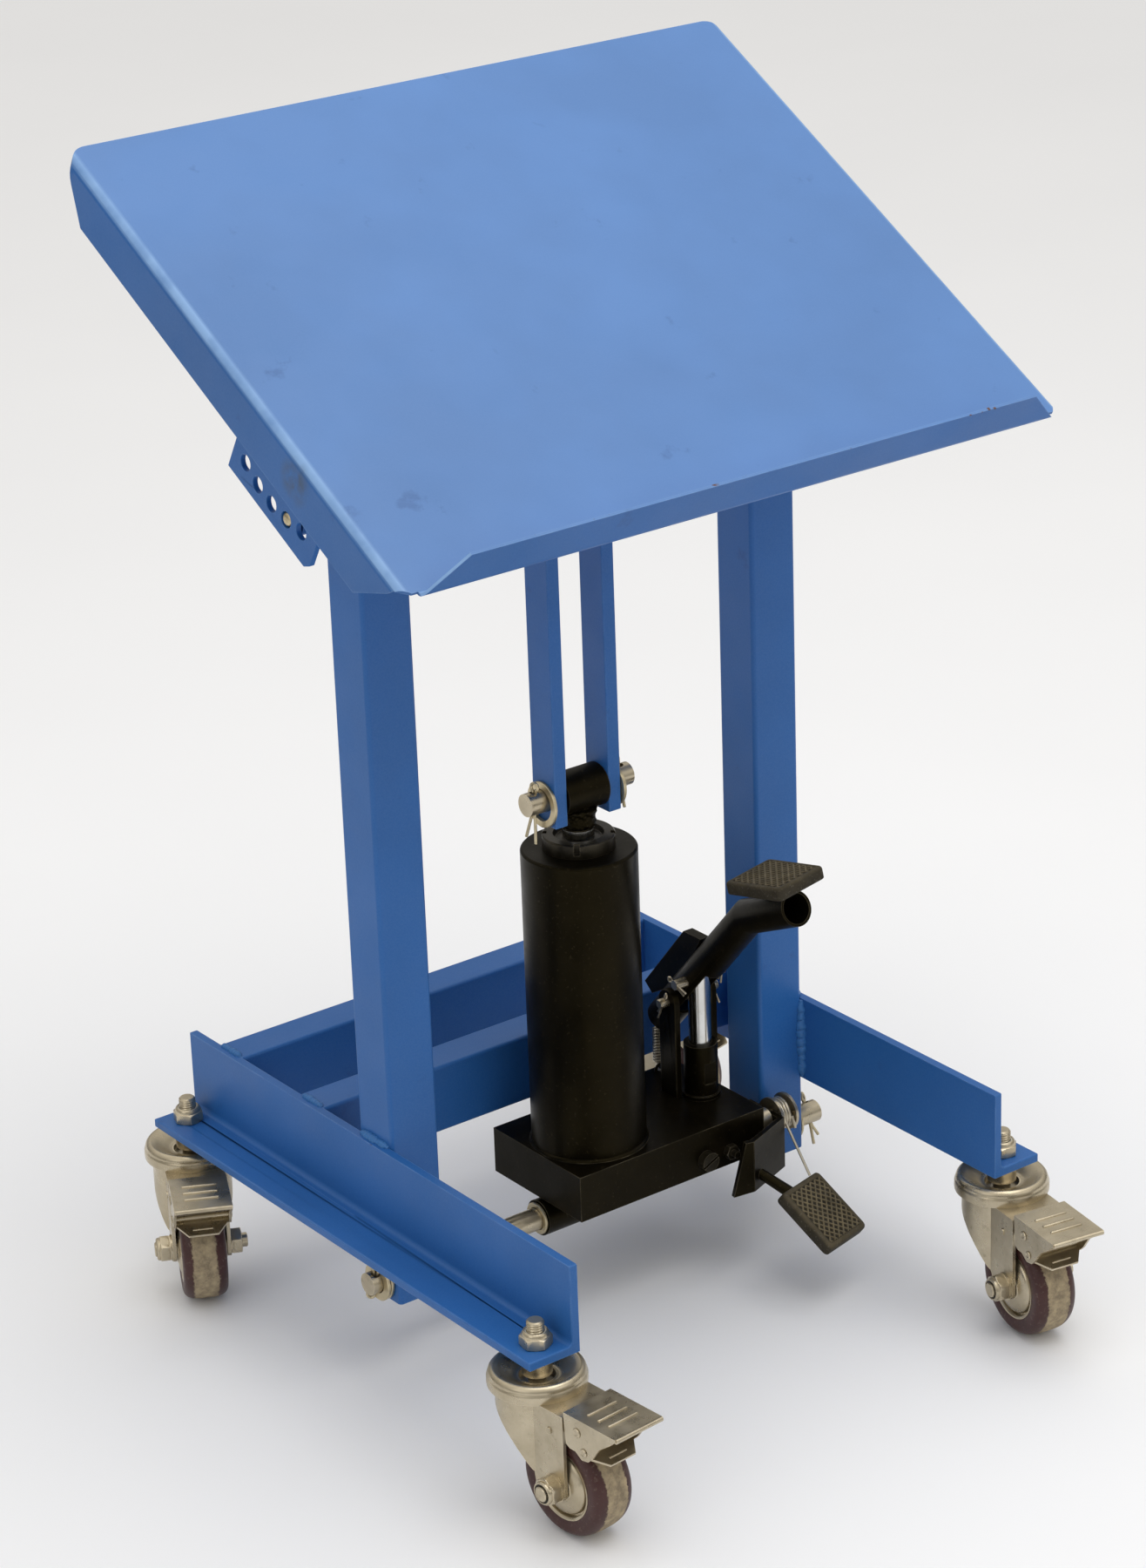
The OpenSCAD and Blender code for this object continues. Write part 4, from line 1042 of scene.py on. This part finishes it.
def pump_welds():
    """Black weld beads on the ram's neck and the jacket's foot."""
    jacket_low, jacket_high = box_mm("jacket")
    rng = random.Random(3)
    shifts = [rng.uniform(0, 6.28) for _ in range(4)]

    def lumps(angle, height):
        wave = math.sin(5 * angle + shifts[0]) + 0.7 * math.sin(11 * angle + height * 1.3 + shifts[1])
        return 0.35 * wave + 0.25 * math.sin(17 * angle - height * 2 + shifts[2])

    foot = Shape()
    r = jacket_high.x
    foot.lathe([(r - 1.0, 0.0), (r + 1.8, 0.0), (r + 1.5, 0.9), (r + 0.6, 1.9), (r - 1.0, 2.6)],
               at(0, UPRIGHT_Y, jacket_low.z), 160, closed=True, wobble=lambda a, h: 0.4 * lumps(a, h))
    foot.make("jacket_foot_weld", LOOKS["black_paint"], "base", 60)
    neck = Shape()
    head_low = box_mm("ram_head")[0].z
    profile = smooth_profile([(9.4, head_low + 0.5), (11.6, head_low + 1.6), (12.6, head_low + 4.5),
                              (11.9, head_low + 8), (12.6, head_low + 11), (13.4, head_low + 14),
                              (9.5, head_low + 15.5)], 3)
    neck.lathe(profile, at(0, UPRIGHT_Y, 0), 96, closed=True, wobble=lambda a, h: 1.3 * lumps(a, h))
    neck.make("ram_neck_weld", LOOKS["black_paint"], "carriage", 60)


def lock_pin_tips():
    """Domed brass-coloured noses of the lock pins, seen in their holes."""
    profile = smooth_profile([(5.0, -1.0), (5.0, 1.6), (4.7, 3.0), (3.9, 4.1), (2.4, 4.9),
                              (0.02, 5.2)], 4)
    for side, name in ((-1, "left_lock"), (1, "right_lock")):
        points = [v.co / MM for v in NODES[name + "_pin"].data.vertices]
        reach = max(side * p.x for p in points)
        end = [p for p in points if side * p.x > reach - 0.2]
        centre = sum(end, Vector()) / len(end)
        shape = Shape()
        place = at(centre.x - side * 0.6, centre.y, centre.z) @ turn_y(90 * side)
        shape.lathe([(0.02, -1.0)] + profile, place, 32)
        shape.make(name + "_pin_nose", LOOKS["yellow_zinc"], name, 40)


def dress_pump():
    lever_pins()
    return_spring()
    torsion_spring()
    hatched_pad("pump_pad", "lever")
    hatched_pad("release_pad", "release")
    pump_welds()
    clevis_fasteners()
    axle_fasteners()
    frame_weld_beads()
    lock_pin_tips()


# ------------------------------------------------------------ stage

def studio():
    """Pale floor, soft lights and a bright even background."""
    shape = Shape()
    count, half = 24, 6000.0
    points = [(-half + 2 * half * i / count, -half + 2 * half * j / count, -0.4)
              for j in range(count + 1) for i in range(count + 1)]
    corners = [j * (count + 1) + i for j in range(count) for i in range(count)]
    faces = [[a, a + 1, a + count + 2, a + count + 1] for a in corners]
    shape.add(points, faces)
    floor = shape.make("floor", studio_floor("studio_floor"), None)
    bpy.context.scene.world = sky()


def sky():
    """White to the camera; a soft overhead glow that fades towards the horizon."""
    world = bpy.data.worlds.new("studio")
    world.use_nodes = True
    tree = world.node_tree
    background = tree.nodes["Background"]
    place = tree.nodes.new("ShaderNodeTexCoord")
    split = tree.nodes.new("ShaderNodeSeparateXYZ")
    fade = tree.nodes.new("ShaderNodeMapRange")
    fade.inputs["From Min"].default_value = 0.0
    fade.inputs["From Max"].default_value = 0.85
    fade.inputs["To Min"].default_value = 0.14
    fade.inputs["To Max"].default_value = 1.05
    rays = tree.nodes.new("ShaderNodeLightPath")
    tint = tree.nodes.new("ShaderNodeMix")
    tint.data_type = "RGBA"
    tint.inputs[6].default_value = (1.0, 0.975, 0.93, 1.0)
    tint.inputs[7].default_value = (1.0, 1.0, 1.0, 1.0)
    pick = tree.nodes.new("ShaderNodeMix")
    pick.inputs["B"].default_value = 0.97
    tree.links.new(place.outputs["Generated"], split.inputs["Vector"])
    tree.links.new(split.outputs["Z"], fade.inputs["Value"])
    tree.links.new(fade.outputs["Result"], pick.inputs["A"])
    tree.links.new(rays.outputs["Is Camera Ray"], tint.inputs["Factor"])
    tree.links.new(tint.outputs[2], background.inputs["Color"])
    tree.links.new(rays.outputs["Is Camera Ray"], pick.inputs["Factor"])
    tree.links.new(pick.outputs["Result"], background.inputs["Strength"])
    return world


def area_light(name, place, aim, size, power, color=(1, 1, 1)):
    light = bpy.data.lights.new(name, "AREA")
    light.shape = "RECTANGLE"
    light.size, light.size_y = size
    light.energy = power
    light.color = color
    obj = bpy.data.objects.new(name, light)
    obj.location = place
    obj.rotation_euler = (Vector(aim) - Vector(place)).to_track_quat("-Z", "Y").to_euler()
    bpy.context.scene.collection.objects.link(obj)


def lights():
    aim = (0, 0, 0.4)
    area_light("top_light", (0.3, -0.5, 2.8), aim, (2.2, 2.0), 27)
    area_light("front_light", (0.9, -2.8, 1.7), aim, (1.8, 1.6), 6)
    area_light("side_light", (-2.6, -0.6, 1.3), aim, (1.5, 1.5), 5)


def camera():
    """The camera, by its angles round the object and its distance in metres."""
    distance, shift_left, shift_up = 2.8376, 0.0033, 0.0238
    azimuth, elevation, roll = (math.radians(a) for a in (-36.37, 22.577, -2.071))
    back = Vector((math.sin(azimuth) * math.cos(elevation),
                   -math.cos(azimuth) * math.cos(elevation), math.sin(elevation)))
    right = (-back).cross(Vector((0, 0, 1))).normalized()
    up = right.cross(-back)
    right, up = (right * math.cos(roll) + up * math.sin(roll),
                 up * math.cos(roll) - right * math.sin(roll))
    rotation = Matrix((right, up, back)).transposed()
    data = bpy.data.cameras.new("camera")
    data.sensor_width = 36.0
    data.lens = 96.85
    obj = bpy.data.objects.new("camera", data)
    aim = Vector((0, UPRIGHT_Y * MM, 0.357))
    obj.location = aim + back * distance - right * shift_left + up * shift_up
    obj.rotation_euler = rotation.to_euler()
    bpy.context.scene.collection.objects.link(obj)
    bpy.context.scene.camera = obj


dress_cad_nodes()
dress_casters()
dress_pump()
studio()
lights()
camera()
bpy.context.scene.view_settings.view_transform = "Standard"
